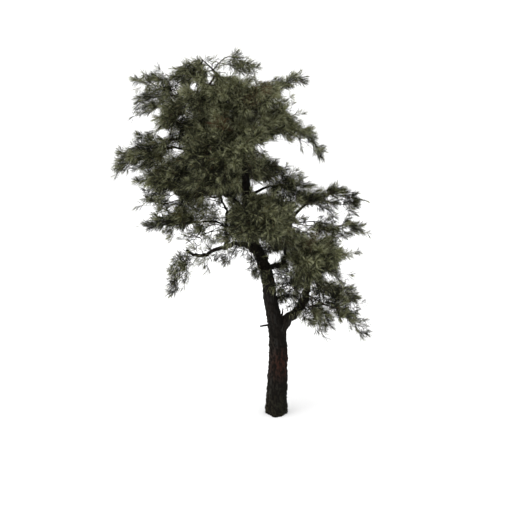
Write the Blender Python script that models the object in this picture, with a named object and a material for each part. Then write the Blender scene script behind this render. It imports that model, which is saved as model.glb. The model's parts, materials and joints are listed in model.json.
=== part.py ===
"""A leaning pine tree: a stout trunk, its main boughs and its masses of needles, each as one solid.

Metres, +Z up. The origin is the middle of the flat cut under the trunk, at ground level.
The open side of the crown looks along -Y, and the crown leans towards -X.
"""

from dataclasses import dataclass
from itertools import combinations

import math

import bmesh
import bpy
from mathutils import Vector, noise
from mathutils.bvhtree import BVHTree

# The trunk.
TRUNK_HEIGHT = 6.94
BUTT_RADIUS = 0.216
TAPER_HEIGHT = 7.10  # where the taper would come to a point
TAPER_POWER = 0.82
FORK_LOW, FORK_HIGH = 1.62, 2.02  # the lowest bough takes its share of the trunk between these
ABOVE_FORK = 0.87  # the share of the trunk's radius that goes on above the lowest bough
ROOT_HEIGHT = 0.13  # the buttress roots sink into the trunk over about this height
ROOT_WIDTH = 30.0  # degrees to either side
ROOTS = [(-92, 0.150), (-22, 0.012), (48, 0.050), (122, 0.050), (196, 0.015)]  # direction, reach
BELOW_GROUND = 0.12  # cut away again, so that the foot is flat

# How finely the solids are made.
TRUNK_SIDES, BOUGH_SIDES = 12, 8
TRUNK_STEPS, BOUGH_STEPS = 2, 2
MASS_SIDES, MASS_RINGS = 12, 7

# Clearances between neighbouring solids.
LIMB_GAP = 0.0008
MASS_GAP = 0.004
ENTRY_GAP = 0.0015  # between the end of a bough and the mass it enters

UNEVENNESS = 0.42
LUMPS = 1.7  # lumps across a mass's half width
TIP_TAPER = 0.18  # a mass is this much slimmer near its tip, and fatter near its inner end
DOME, UNDERSIDE = 1.12, 0.86  # the swell above and below a mass's heart

# The line of the trunk's heart: it stands straight, then leans over above the lowest bough.
TRUNK_LINE = [
    (0.00, 0.00, 0.00),
    (0.00, 0.00, 0.18),
    (0.02, 0.00, 0.75),
    (0.03, 0.00, 1.35),
    (-0.02, 0.00, 1.80),
    (-0.11, 0.01, 2.20),
    (-0.20, 0.02, 2.80),
    (-0.32, 0.03, 3.13),
    (-0.45, 0.03, 3.40),
    (-0.57, 0.02, 4.00),
    (-0.61, 0.02, 4.70),
    (-0.66, 0.04, 5.35),
    (-0.78, 0.05, 5.85),
    (-0.97, 0.02, 6.42),
    (-1.25, 0.00, 6.76),
    (-1.44, -0.02, TRUNK_HEIGHT),
]


@dataclass
class Bough:
    """A tapering limb along a smooth line. It starts inside the limb that bears it and ends in a mass."""

    name: str
    thick: float
    thin: float
    line: list
    enters: str = ""


@dataclass
class Mass:
    """A mass of needles from its inner end to its tip, arched up in the middle by its bow."""

    name: str
    inner: tuple
    tip: tuple
    half_width: float
    half_depth: float
    bow: float = 0.0


BOUGHS = [
    # The low right bough swings out from the fork and up, like a second stem.
    Bough("bough_right_low", 0.098, 0.046,
          [(0.04, 0.0, 1.55), (0.18, 0.02, 1.85), (0.33, 0.05, 2.00), (0.48, 0.08, 2.13),
           (0.57, 0.10, 2.32), (0.61, 0.10, 2.60), (0.78, 0.08, 3.00)], "foliage_right_heart"),
    Bough("bough_right_middle", 0.052, 0.024,
          [(-0.22, 0.01, 2.92), (-0.02, 0.04, 2.95), (0.12, 0.07, 3.02), (0.18, 0.10, 3.22),
           (0.24, 0.15, 3.60), (0.36, 0.20, 3.95), (0.66, 0.25, 4.22)], "foliage_right_middle"),
    Bough("bough_left_low", 0.056, 0.024,
          [(-0.26, 0.02, 3.04), (-0.44, -0.05, 3.26), (-0.62, -0.13, 3.38), (-0.80, -0.20, 3.42),
           (-1.00, -0.30, 3.37), (-1.20, -0.42, 3.30), (-1.35, -0.46, 3.23), (-1.50, -0.50, 3.20),
           (-1.62, -0.51, 3.26), (-1.74, -0.54, 3.34)],
          "foliage_left_hanging"),
    Bough("bough_left_upright", 0.037, 0.012,
          [(-0.99, -0.29, 3.37), (-0.97, -0.31, 3.58), (-0.99, -0.31, 3.78), (-0.97, -0.30, 3.96),
           (-0.98, -0.28, 4.10), (-1.05, -0.28, 4.22), (-1.09, -0.30, 4.36), (-1.22, -0.34, 4.52)], "foliage_left_heart"),
    Bough("bough_left_arched", 0.050, 0.024,
          [(-0.56, 0.02, 3.84), (-0.68, 0.12, 4.04), (-0.80, 0.22, 4.19), (-0.92, 0.30, 4.30),
           (-1.12, 0.38, 4.34), (-1.40, 0.42, 4.34), (-1.80, 0.44, 4.26)], "foliage_left_back"),
    Bough("bough_left_branch", 0.019, 0.012,
          [(-0.97, -0.32, 3.74), (-1.14, -0.38, 3.86), (-1.34, -0.40, 3.87), (-1.65, -0.42, 3.86)],
          "foliage_left_low"),
    Bough("bough_left_middle", 0.042, 0.020,
          [(-0.61, 0.02, 4.84), (-0.95, -0.10, 5.06), (-1.40, -0.20, 5.16), (-2.00, -0.38, 5.30)],
          "foliage_left_middle"),
    Bough("bough_left_upper", 0.030, 0.014,
          [(-0.74, 0.05, 5.66), (-1.02, 0.02, 5.92), (-1.42, 0.02, 6.10), (-1.95, 0.12, 6.24)],
          "foliage_left_upper"),
    Bough("bough_right_upper", 0.026, 0.013,
          [(-0.82, 0.04, 5.95), (-0.58, 0.05, 6.16), (-0.32, 0.04, 6.28), (0.05, 0.04, 6.42)],
          "foliage_right_crown"),
    Bough("bough_right_high", 0.036, 0.020,
          [(-0.66, 0.04, 5.30), (-0.46, 0.00, 5.50), (-0.28, -0.05, 5.66), (-0.12, -0.12, 5.80)],
          "foliage_right_upper"),
    Bough("bough_right_back", 0.034, 0.016,
          [(-0.59, 0.03, 4.22), (-0.42, 0.16, 4.38), (-0.12, 0.34, 4.50), (0.30, 0.54, 4.52)],
          "foliage_back_right_low"),
    Bough("bough_front_low", 0.046, 0.024,
          [(-0.53, 0.02, 3.66), (-0.48, -0.22, 3.82), (-0.42, -0.50, 3.92), (-0.34, -0.95, 3.98)],
          "foliage_front_low"),
    Bough("bough_back_low", 0.046, 0.024,
          [(-0.54, 0.03, 3.74), (-0.50, 0.25, 3.88), (-0.40, 0.55, 3.96), (-0.17, 1.10, 3.98)],
          "foliage_back_low"),
    Bough("bough_front_middle", 0.040, 0.020,
          [(-0.60, 0.02, 4.62), (-0.68, -0.22, 4.78), (-0.84, -0.62, 4.90), (-1.02, -1.05, 4.98)],
          "foliage_front_middle"),
    Bough("bough_back_middle", 0.040, 0.020,
          [(-0.61, 0.03, 4.58), (-0.72, 0.28, 4.72), (-0.95, 0.62, 4.80), (-1.28, 1.05, 4.84)],
          "foliage_back_middle"),
    Bough("bough_back_upper", 0.034, 0.018,
          [(-0.65, 0.04, 5.26), (-0.76, 0.26, 5.44), (-0.95, 0.55, 5.56), (-1.22, 0.90, 5.62)],
          "foliage_back_upper"),
    # Near its tip the trunk throws out a second thin leader.
    Bough("leader_right", 0.011, 0.008,
          [(-1.23, 0.00, 6.74), (-1.10, 0.00, 6.88), (-0.96, 0.00, 6.98), (-0.70, 0.00, 6.96)],
          "foliage_leader_right"),
    # A snapped-off dead branch, with nothing on it.
    Bough("dead_stub", 0.024, 0.017,
          [(-0.02, 0.00, 1.79), (-0.20, -0.02, 1.78), (-0.33, -0.03, 1.76)]),
]

MASSES = [
    # The crown's top, round the two leaders.
    Mass("foliage_leader_left", (-1.24, 0.00, 6.62), (-2.16, -0.05, 6.52), 0.38, 0.32, 0.04),
    Mass("foliage_leader_right", (-1.06, 0.00, 6.92), (-0.34, 0.00, 6.50), 0.26, 0.20, 0.10),
    Mass("foliage_crown_front_left", (-0.89, -0.10, 6.09), (-1.84, -1.05, 6.03), 0.46, 0.36, 0.05),
    Mass("foliage_crown_front_right", (-0.83, -0.06, 6.14), (-0.24, -1.05, 6.18), 0.44, 0.38),
    Mass("foliage_crown_back", (-0.92, 0.08, 6.20), (-1.25, 1.40, 6.20), 0.60, 0.34),
    # The left side, from the top down.
    Mass("foliage_left_crown", (-1.80, -0.20, 6.34), (-2.72, -0.40, 6.58), 0.30, 0.22, 0.05),
    Mass("foliage_left_upper", (-1.70, 0.25, 6.20), (-2.76, 0.15, 6.20), 0.34, 0.22, 0.08),
    Mass("foliage_left_upper_low", (-1.95, -0.12, 6.06), (-2.80, -0.20, 5.84), 0.28, 0.16, 0.05),
    Mass("foliage_left_shoulder", (-1.28, -0.40, 5.96), (-2.30, -0.95, 5.56), 0.44, 0.33, 0.05),
    Mass("foliage_left_middle", (-1.50, -0.34, 5.30), (-3.10, -0.84, 4.74), 0.46, 0.35, 0.22),
    Mass("foliage_left_heart", (-0.92, -0.16, 4.92), (-2.34, -0.96, 4.64), 0.52, 0.50, 0.05),
    Mass("foliage_left_arm", (-1.60, 0.05, 4.62), (-2.78, 0.00, 4.60), 0.38, 0.25, 0.04),
    Mass("foliage_left_back", (-1.14, 0.45, 4.20), (-2.82, 0.30, 4.10), 0.38, 0.25, 0.06),
    Mass("foliage_left_low", (-1.34, -0.32, 3.84), (-2.66, -0.60, 3.78), 0.42, 0.28, 0.04),
    Mass("foliage_left_low_inner", (-0.99, -0.32, 3.66), (-1.90, -0.34, 3.52), 0.24, 0.16),
    Mass("foliage_left_hanging", (-1.64, -0.50, 3.42), (-2.10, -0.72, 2.40), 0.27, 0.22),
    Mass("foliage_trunk_tuft", (-0.34, -0.12, 3.30), (-0.60, -0.32, 2.80), 0.19, 0.15),
    Mass("foliage_left_inner", (-0.58, -0.12, 3.70), (-1.00, -0.30, 3.52), 0.26, 0.20),
    # The front and the heart of the crown.
    Mass("foliage_front_upper", (-0.66, -0.04, 5.50), (-0.32, -1.45, 5.34), 0.44, 0.34),
    Mass("foliage_front_middle", (-0.66, -0.10, 5.02), (-1.35, -1.88, 4.94), 0.58, 0.54),
    Mass("foliage_front_low", (-0.53, -0.06, 3.90), (-0.20, -1.75, 3.92), 0.52, 0.44),
    Mass("foliage_front_low_right", (0.02, -0.10, 3.84), (0.40, -1.05, 3.80), 0.40, 0.42),
    # The right side, from the top down.
    Mass("foliage_right_crown", (-0.34, 0.00, 6.20), (0.62, 0.10, 6.74), 0.32, 0.22),
    Mass("foliage_right_upper", (-0.60, 0.05, 5.84), (0.46, -0.38, 5.56), 0.50, 0.43, 0.05),
    Mass("foliage_right_upper_tip", (0.18, -0.10, 5.66), (0.87, -0.20, 5.06), 0.30, 0.25, 0.08),
    Mass("foliage_right_middle", (0.46, 0.26, 4.18), (1.78, 0.00, 4.24), 0.42, 0.24, 0.12),
    Mass("foliage_right_arm", (0.62, 0.08, 3.72), (1.82, -0.10, 3.58), 0.40, 0.24, 0.08),
    Mass("foliage_right_heart", (0.16, 0.05, 3.10), (1.38, 0.10, 3.10), 0.40, 0.45),
    Mass("foliage_right_front", (0.36, -0.22, 3.18), (1.20, -1.12, 2.94), 0.42, 0.38),
    Mass("foliage_right_low", (0.63, 0.12, 2.46), (1.82, 0.38, 2.10), 0.42, 0.24, 0.12),
    Mass("foliage_right_low_tip", (0.84, -0.14, 2.40), (1.68, -0.40, 1.60), 0.32, 0.22, 0.12),
    Mass("foliage_right_hanging", (0.58, 0.02, 2.32), (0.98, -0.06, 1.48), 0.26, 0.20),
    Mass("foliage_right_inner", (0.50, 0.18, 2.70), (-0.04, 0.42, 2.12), 0.30, 0.30),
    # The back, which fills the crown from behind.
    Mass("foliage_right_middle_back", (0.38, 0.26, 4.22), (0.88, 1.50, 4.18), 0.42, 0.20),
    Mass("foliage_right_back", (0.60, 0.36, 3.10), (1.10, 1.45, 2.98), 0.44, 0.34),
    Mass("foliage_inner_back", (-0.30, 0.08, 3.22), (0.20, 1.00, 3.28), 0.25, 0.19),
    Mass("foliage_back_right", (-0.58, 0.06, 4.78), (0.08, 1.40, 4.78), 0.46, 0.28),
    Mass("foliage_back_right_low", (-0.20, 0.26, 4.46), (0.76, 0.80, 4.50), 0.36, 0.24),
    Mass("foliage_back_upper", (-0.72, 0.12, 5.60), (-1.66, 1.52, 5.52), 0.60, 0.34),
    Mass("foliage_back_middle", (-0.66, 0.12, 4.68), (-1.82, 1.82, 4.60), 0.58, 0.42),
    Mass("foliage_back_low", (-0.52, 0.10, 3.96), (0.10, 1.92, 3.84), 0.56, 0.38),
]


def finish(name, colour, roughness):
    """A plain material of one colour."""
    material = bpy.data.materials.new(name)
    material.use_nodes = True
    shader = material.node_tree.nodes["Principled BSDF"]
    shader.inputs["Base Color"].default_value = (*colour, 1.0)
    shader.inputs["Roughness"].default_value = roughness
    shader.inputs["Metallic"].default_value = 0.0
    material.diffuse_color = (*colour, 1.0)
    return material


def trunk_radius(height):
    """The trunk's radius at a height: an even taper, less the share that the lowest bough takes."""
    taper = BUTT_RADIUS * max(0.0, 1 - height / TAPER_HEIGHT) ** TAPER_POWER
    past = min(1.0, max(0.0, (height - FORK_LOW) / (FORK_HIGH - FORK_LOW)))
    return taper * (1 - (1 - ABOVE_FORK) * past)


def tube_mesh(name, line, radii, sides, steps):
    """A closed round tube along a smooth line, with a radius for each of its points."""
    curve = bpy.data.curves.new(name, "CURVE")
    curve.dimensions = "3D"
    curve.bevel_depth = 1.0
    curve.bevel_resolution = sides // 2 - 2
    curve.resolution_u = steps
    curve.use_fill_caps = True
    spline = curve.splines.new("BEZIER")
    spline.bezier_points.add(len(line) - 1)
    for point, place, radius in zip(spline.bezier_points, line, radii):
        point.co = place
        point.radius = radius
        point.handle_left_type = point.handle_right_type = "AUTO"
    guide = bpy.data.objects.new(name, curve)
    bpy.context.scene.collection.objects.link(guide)
    graph = bpy.context.evaluated_depsgraph_get()
    mesh = bpy.data.meshes.new_from_object(guide.evaluated_get(graph))
    bpy.data.objects.remove(guide)
    bm = bmesh.new()
    bm.from_mesh(mesh)
    bmesh.ops.remove_doubles(bm, verts=bm.verts, dist=1e-5)
    bmesh.ops.recalc_face_normals(bm, faces=bm.faces)
    bm.to_mesh(mesh)
    bm.free()
    mesh.name = name
    return mesh


def longer(line, grow):
    """A limb's line with its last point moved on."""
    last, before = Vector(line[-1]), Vector(line[-2])
    return [*line[:-1], last + (last - before).normalized() * grow]


def trunk_mesh(grow=0.0):
    """The trunk with its root buttresses, cut flat at the ground. grow makes it that much fatter."""
    foot = (TRUNK_LINE[0][0], TRUNK_LINE[0][1], -BELOW_GROUND)
    line = longer([foot, *TRUNK_LINE], grow)
    radii = [trunk_radius(max(0.0, place[2])) + grow for place in line]
    mesh = tube_mesh("trunk", line, radii, TRUNK_SIDES, TRUNK_STEPS)
    bm = bmesh.new()
    bm.from_mesh(mesh)
    for vert in bm.verts:
        out = Vector((vert.co.x, vert.co.y))
        if out.length < 1e-6:
            continue
        facing = math.degrees(math.atan2(out.y, out.x))
        reach = 0.0
        for turn, root in ROOTS:
            aside = (facing - turn + 180) % 360 - 180
            reach += root * math.exp(-((aside / ROOT_WIDTH) ** 2))
        out *= 1 + reach * math.exp(-max(0.0, vert.co.z) / ROOT_HEIGHT) / out.length
        vert.co.x, vert.co.y = out
    everything = [*bm.verts, *bm.edges, *bm.faces]
    ground = bmesh.ops.bisect_plane(bm, geom=everything, plane_co=(0, 0, 0), plane_no=(0, 0, -1),
                                    clear_outer=True)
    rim = [item for item in ground["geom_cut"] if isinstance(item, bmesh.types.BMEdge)]
    bmesh.ops.contextual_create(bm, geom=rim)
    bmesh.ops.recalc_face_normals(bm, faces=bm.faces)
    bm.to_mesh(mesh)
    bm.free()
    return mesh


def bough_mesh(bough, grow=0.0):
    """A bough's whole tube, before anything is cut from it. It tapers evenly along its length."""
    places = [Vector(place) for place in longer(bough.line, grow)]
    run = [0.0]
    for here, there in zip(places, places[1:]):
        run.append(run[-1] + (there - here).length)
    radii = [bough.thick + (bough.thin - bough.thick) * along / run[-1] + grow for along in run]
    return tube_mesh(bough.name, places, radii, BOUGH_SIDES, BOUGH_STEPS)


class Lump:
    """A mass while it is being shaped: its mesh, its heart and its three directions."""

    def __init__(self, mass, number):
        self.mass = mass
        inner, tip = Vector(mass.inner), Vector(mass.tip)
        self.axis = (tip - inner).normalized()
        across = Vector((0, 0, 1)).cross(self.axis)
        if across.length < 0.5:  # a mass that hangs down is as wide as it looks from the open side
            across = Vector((1, 0, 0))
        self.side = (across - self.axis * across.dot(self.axis)).normalized()
        self.up = self.axis.cross(self.side)
        self.heart = (inner + tip) / 2 + Vector((0, 0, mass.bow))
        self.bm = bmesh.new()
        bmesh.ops.create_uvsphere(self.bm, u_segments=MASS_SIDES, v_segments=MASS_RINGS, radius=1.0)
        half_length = (tip - inner).length / 2
        for vert in self.bm.verts:
            across_axis, above_axis, along = vert.co
            bump = noise.noise(vert.co * LUMPS + Vector((7.3 * number, 0, 0)))
            swell = (1 + UNEVENNESS * bump) * (1 - TIP_TAPER * along)
            above_axis *= DOME if above_axis > 0 else UNDERSIDE
            vert.co = (self.heart
                       + self.axis * along * half_length
                       + self.side * across_axis * mass.half_width * swell
                       + self.up * above_axis * mass.half_depth * swell
                       - Vector((0, 0, mass.bow * along * along)))

    def reach(self, direction):
        """How far the mass goes from its heart in this direction."""
        return max((vert.co - self.heart).dot(direction) for vert in self.bm.verts)

    def past(self, direction, wall):
        """How much of the mass lies past a wall, summed over its points."""
        return sum(max(0.0, (vert.co - self.heart).dot(direction) - wall) for vert in self.bm.verts)

    def hold_back(self, direction, wall):
        """Draws every point that is past the wall back towards the heart, onto the wall."""
        for vert in self.bm.verts:
            arm = vert.co - self.heart
            out = arm.dot(direction)
            if out > wall:
                vert.co = self.heart + arm * (wall / out)


def press_apart(first, second):
    """Parts two masses that run into each other by the flat wall that takes least off them."""
    if not BVHTree.FromBMesh(first.bm).overlap(BVHTree.FromBMesh(second.bm)):
        return
    between = second.heart - first.heart
    best = None
    choices = [between.normalized(), Vector((0, 0, 1)), first.up, second.up, first.side, second.side,
               first.axis, second.axis]
    for choice in choices:
        direction = choice if choice.dot(between) > 0 else -choice
        room = direction.dot(between) - MASS_GAP
        if room < between.length / 4:
            continue
        near, far = first.reach(direction), second.reach(-direction)
        wall = room * near / (near + far)
        loss = first.past(direction, wall) + second.past(-direction, room - wall)
        if best is None or loss < best[0]:
            best = (loss, direction, wall, room - wall)
    loss, direction, near_wall, far_wall = best
    first.hold_back(direction, near_wall)
    second.hold_back(-direction, far_wall)


def cut(target, cutter_mesh):
    """Takes the cutter away from the target, and keeps the largest body that is left."""
    cutter = bpy.data.objects.new("cutter", cutter_mesh)
    bpy.context.scene.collection.objects.link(cutter)
    modifier = target.modifiers.new("cut", "BOOLEAN")
    modifier.operation = "DIFFERENCE"
    modifier.solver = "EXACT"
    modifier.object = cutter
    graph = bpy.context.evaluated_depsgraph_get()
    mesh = bpy.data.meshes.new_from_object(target.evaluated_get(graph))
    target.modifiers.clear()
    target.data = mesh
    bpy.data.objects.remove(cutter)
    keep_largest(mesh)


def keep_largest(mesh):
    """Leaves only the mesh's largest connected body."""
    bm = bmesh.new()
    bm.from_mesh(mesh)
    bmesh.ops.remove_doubles(bm, verts=bm.verts, dist=1e-5)
    unseen, bodies = set(bm.verts), []
    while unseen:
        body, edge_of_body = set(), [unseen.pop()]
        while edge_of_body:
            vert = edge_of_body.pop()
            body.add(vert)
            for edge in vert.link_edges:
                other = edge.other_vert(vert)
                if other in unseen:
                    unseen.remove(other)
                    edge_of_body.append(other)
        bodies.append(body)
    bodies.sort(key=len)
    for body in bodies[:-1]:
        bmesh.ops.delete(bm, geom=list(body), context="VERTS")
    bm.to_mesh(mesh)
    bm.free()


def touches(one, other):
    """True if the surfaces of two objects cross."""
    trees = []
    for obj in (one, other):
        bm = bmesh.new()
        bm.from_mesh(obj.data)
        trees.append(BVHTree.FromBMesh(bm))
        bm.free()
    return bool(trees[0].overlap(trees[1]))


def grown(obj, gap):
    """A copy of an object's mesh with every face moved out by the gap."""
    mesh = obj.data.copy()
    bm = bmesh.new()
    bm.from_mesh(mesh)
    bm.normal_update()
    shifts = [vert.normal * gap * vert.calc_shell_factor() for vert in bm.verts]
    for vert, shift in zip(bm.verts, shifts):
        vert.co += shift
    bm.to_mesh(mesh)
    bm.free()
    return mesh


def place(name, mesh, material, collection):
    """A named object of the tree."""
    obj = bpy.data.objects.new(name, mesh)
    collection.objects.link(obj)
    mesh.materials.clear()
    mesh.materials.append(material)
    return obj


def main():
    for obj in list(bpy.data.objects):
        bpy.data.objects.remove(obj)
    tree = bpy.data.collections.new("pine_tree")
    bpy.context.scene.collection.children.link(tree)
    bark = finish("bark", (0.060, 0.047, 0.038), 0.9)
    bough_bark = finish("bough_bark", (0.048, 0.041, 0.033), 0.9)
    needles = finish("needles", (0.075, 0.082, 0.036), 0.6)

    trunk = place("trunk", trunk_mesh(), bark, tree)
    limbs = {"trunk": trunk}
    # A bough springs from the trunk or from a bough before it, and is cut to fit against it.
    for number, bough in enumerate(BOUGHS):
        limb = place(bough.name, bough_mesh(bough), bough_bark, tree)
        if touches(limb, trunk):
            cut(limb, trunk_mesh(LIMB_GAP))
        for earlier in BOUGHS[:number]:
            if touches(limb, limbs[earlier.name]):
                cut(limb, bough_mesh(earlier, LIMB_GAP))
        limbs[bough.name] = limb

    lumps = [Lump(mass, number) for number, mass in enumerate(MASSES)]
    for first, second in combinations(lumps, 2):
        press_apart(first, second)

    masses = {}
    for lump in lumps:
        mesh = bpy.data.meshes.new(lump.mass.name)
        lump.bm.to_mesh(mesh)
        lump.bm.free()
        masses[lump.mass.name] = place(lump.mass.name, mesh, needles, tree)

    # The masses are cut round the trunk and every bough that only passes them.
    for name, mass in masses.items():
        if touches(mass, trunk):
            cut(mass, trunk_mesh(LIMB_GAP))
        for bough in BOUGHS:
            if bough.enters != name and touches(mass, limbs[bough.name]):
                cut(mass, bough_mesh(bough, LIMB_GAP))
    # Each bough ends where it enters its mass.
    for bough in BOUGHS:
        if bough.enters:
            cut(limbs[bough.name], grown(masses[bough.enters], ENTRY_GAP))

    for obj in limbs.values():
        obj.data.materials.clear()
        obj.data.materials.append(bark if obj is trunk else bough_bark)
        obj.data.shade_smooth()
    for obj in masses.values():
        obj.data.materials.clear()
        obj.data.materials.append(needles)


main()
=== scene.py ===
"""A leaning pine tree: plated bark on the trunk and boughs, and twigs and needles grown from the limbs.

Laid out as an add-on: its settings, one operator for each kind of piece, and a panel that lists them.
Metres, +Z up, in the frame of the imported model.
"""

import json
import math
import zlib

import bpy
import numpy as np
from bpy.props import FloatProperty, FloatVectorProperty, IntProperty, PointerProperty
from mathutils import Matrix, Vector, noise
from mathutils.bvhtree import BVHTree

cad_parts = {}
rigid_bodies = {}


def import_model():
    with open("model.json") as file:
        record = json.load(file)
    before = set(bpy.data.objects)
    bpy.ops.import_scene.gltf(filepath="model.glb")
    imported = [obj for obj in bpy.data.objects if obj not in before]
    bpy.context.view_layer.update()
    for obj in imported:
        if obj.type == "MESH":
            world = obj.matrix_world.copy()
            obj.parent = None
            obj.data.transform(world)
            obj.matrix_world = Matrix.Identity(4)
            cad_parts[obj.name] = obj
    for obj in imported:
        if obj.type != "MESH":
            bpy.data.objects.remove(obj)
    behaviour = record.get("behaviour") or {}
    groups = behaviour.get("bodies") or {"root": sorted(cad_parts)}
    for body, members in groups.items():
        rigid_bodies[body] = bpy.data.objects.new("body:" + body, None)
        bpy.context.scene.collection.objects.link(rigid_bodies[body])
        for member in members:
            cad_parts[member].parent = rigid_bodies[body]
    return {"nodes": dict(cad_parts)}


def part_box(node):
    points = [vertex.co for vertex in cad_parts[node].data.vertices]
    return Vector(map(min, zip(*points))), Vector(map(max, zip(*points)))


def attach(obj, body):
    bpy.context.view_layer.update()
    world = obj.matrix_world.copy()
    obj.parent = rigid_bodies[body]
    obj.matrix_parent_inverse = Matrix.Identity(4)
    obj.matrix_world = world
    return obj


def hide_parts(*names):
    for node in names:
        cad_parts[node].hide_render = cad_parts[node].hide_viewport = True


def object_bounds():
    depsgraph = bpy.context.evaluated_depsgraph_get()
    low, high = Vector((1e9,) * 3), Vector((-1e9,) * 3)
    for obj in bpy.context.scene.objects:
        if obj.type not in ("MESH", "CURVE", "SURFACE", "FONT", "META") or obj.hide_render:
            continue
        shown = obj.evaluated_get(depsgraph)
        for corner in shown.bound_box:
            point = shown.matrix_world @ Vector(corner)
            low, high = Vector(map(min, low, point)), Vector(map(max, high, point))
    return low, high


bl_info = {
    "name": "Pine Tree",
    "version": (1, 0, 0),
    "blender": (4, 5, 0),
    "location": "3D View > Sidebar > Pine",
    "description": "Grows the bark, boughs, twigs and needles of a leaning pine tree",
    "category": "Add Mesh",
}

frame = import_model()
CAD_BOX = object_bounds()
BODY = "root"
UP = np.array((0.0, 0.0, 1.0))

# The trunk's heart line and taper, as in the solid model.
BUTT_RADIUS = 0.216
TAPER_HEIGHT = 7.10
TAPER_POWER = 0.82
FORK_LOW, FORK_HIGH = 1.62, 2.02
ABOVE_FORK = 0.87  # of the width goes on above the fork
ROOT_HEIGHT = 0.13
ROOT_WIDTH = 30.0
# Each buttress root: the way it faces in degrees, and how far it stands out.
ROOTS = [(-92, 0.150), (-22, 0.012), (48, 0.050), (122, 0.050), (196, 0.015)]
BELOW_GROUND = 0.12
TRUNK_LINE = [
    (0.00, 0.00, 0.00), (0.00, 0.00, 0.18), (0.02, 0.00, 0.75), (0.03, 0.00, 1.35),
    (-0.02, 0.00, 1.80), (-0.11, 0.01, 2.20), (-0.20, 0.02, 2.80), (-0.32, 0.03, 3.13),
    (-0.45, 0.03, 3.40), (-0.57, 0.02, 4.00), (-0.61, 0.02, 4.70), (-0.66, 0.04, 5.35),
    (-0.78, 0.05, 5.85), (-0.97, 0.02, 6.42), (-1.25, 0.00, 6.76), (-1.44, -0.02, 6.94),
]

# Each bough: its radius where it leaves and where it ends, and its heart line.
BOUGHS = {
    "bough_right_low": (0.098, 0.046, [
        (0.04, 0.0, 1.55), (0.18, 0.02, 1.85), (0.33, 0.05, 2.00), (0.48, 0.08, 2.13),
        (0.57, 0.10, 2.32), (0.61, 0.10, 2.60), (0.78, 0.08, 3.00)]),
    "bough_right_middle": (0.052, 0.024, [
        (-0.22, 0.01, 2.92), (-0.02, 0.04, 2.95), (0.12, 0.07, 3.02), (0.18, 0.10, 3.22),
        (0.24, 0.15, 3.60), (0.36, 0.20, 3.95), (0.66, 0.25, 4.22)]),
    "bough_left_low": (0.056, 0.024, [
        (-0.26, 0.02, 3.04), (-0.44, -0.05, 3.26), (-0.62, -0.13, 3.38), (-0.80, -0.20, 3.42),
        (-1.00, -0.30, 3.38), (-1.20, -0.42, 3.33), (-1.35, -0.46, 3.26), (-1.50, -0.50, 3.23),
        (-1.62, -0.51, 3.27), (-1.74, -0.54, 3.34)]),
    "bough_left_upright": (0.037, 0.012, [
        (-0.99, -0.29, 3.37), (-0.97, -0.31, 3.58), (-0.99, -0.31, 3.78), (-0.97, -0.30, 3.96),
        (-0.98, -0.28, 4.10), (-1.05, -0.28, 4.22), (-1.09, -0.30, 4.36), (-1.22, -0.34, 4.52)]),
    "bough_left_arched": (0.050, 0.024, [
        (-0.56, 0.02, 3.84), (-0.68, 0.12, 4.04), (-0.80, 0.22, 4.19), (-0.92, 0.30, 4.30),
        (-1.12, 0.38, 4.34), (-1.40, 0.42, 4.34), (-1.80, 0.44, 4.26)]),
    "bough_left_branch": (0.019, 0.012, [
        (-0.97, -0.32, 3.74), (-1.14, -0.38, 3.86), (-1.34, -0.40, 3.87), (-1.65, -0.42, 3.86)]),
    "bough_left_middle": (0.042, 0.020, [
        (-0.61, 0.02, 4.84), (-0.95, -0.10, 5.06), (-1.40, -0.20, 5.16), (-2.00, -0.38, 5.30)]),
    "bough_left_upper": (0.030, 0.014, [
        (-0.74, 0.05, 5.66), (-1.02, 0.02, 5.92), (-1.42, 0.02, 6.10), (-1.95, 0.12, 6.24)]),
    "bough_right_upper": (0.026, 0.013, [
        (-0.82, 0.04, 5.95), (-0.58, 0.05, 6.16), (-0.32, 0.04, 6.28), (0.05, 0.04, 6.42)]),
    "bough_right_high": (0.036, 0.020, [
        (-0.66, 0.04, 5.30), (-0.46, 0.00, 5.50), (-0.28, -0.05, 5.66), (-0.12, -0.12, 5.80)]),
    "bough_right_back": (0.034, 0.016, [
        (-0.59, 0.03, 4.22), (-0.42, 0.16, 4.38), (-0.12, 0.34, 4.50), (0.30, 0.54, 4.52)]),
    "bough_front_low": (0.046, 0.024, [
        (-0.53, 0.02, 3.66), (-0.48, -0.22, 3.82), (-0.42, -0.50, 3.92), (-0.34, -0.95, 3.98)]),
    "bough_back_low": (0.046, 0.024, [
        (-0.54, 0.03, 3.74), (-0.50, 0.25, 3.88), (-0.40, 0.55, 3.96), (-0.17, 1.10, 3.98)]),
    "bough_front_middle": (0.040, 0.020, [
        (-0.60, 0.02, 4.62), (-0.68, -0.22, 4.78), (-0.84, -0.62, 4.90), (-1.02, -1.05, 4.98)]),
    "bough_back_middle": (0.040, 0.020, [
        (-0.61, 0.03, 4.58), (-0.72, 0.28, 4.72), (-0.95, 0.62, 4.80), (-1.28, 1.05, 4.84)]),
    "bough_back_upper": (0.034, 0.018, [
        (-0.65, 0.04, 5.26), (-0.76, 0.26, 5.44), (-0.95, 0.55, 5.56), (-1.22, 0.90, 5.62)]),
    "leader_right": (0.011, 0.008, [
        (-1.23, 0.00, 6.74), (-1.10, 0.00, 6.88), (-0.96, 0.00, 6.98), (-0.70, 0.00, 6.96)]),
    "dead_stub": (0.024, 0.017, [
        (-0.02, 0.00, 1.79), (-0.20, -0.02, 1.78), (-0.33, -0.03, 1.76)]),
}

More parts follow.
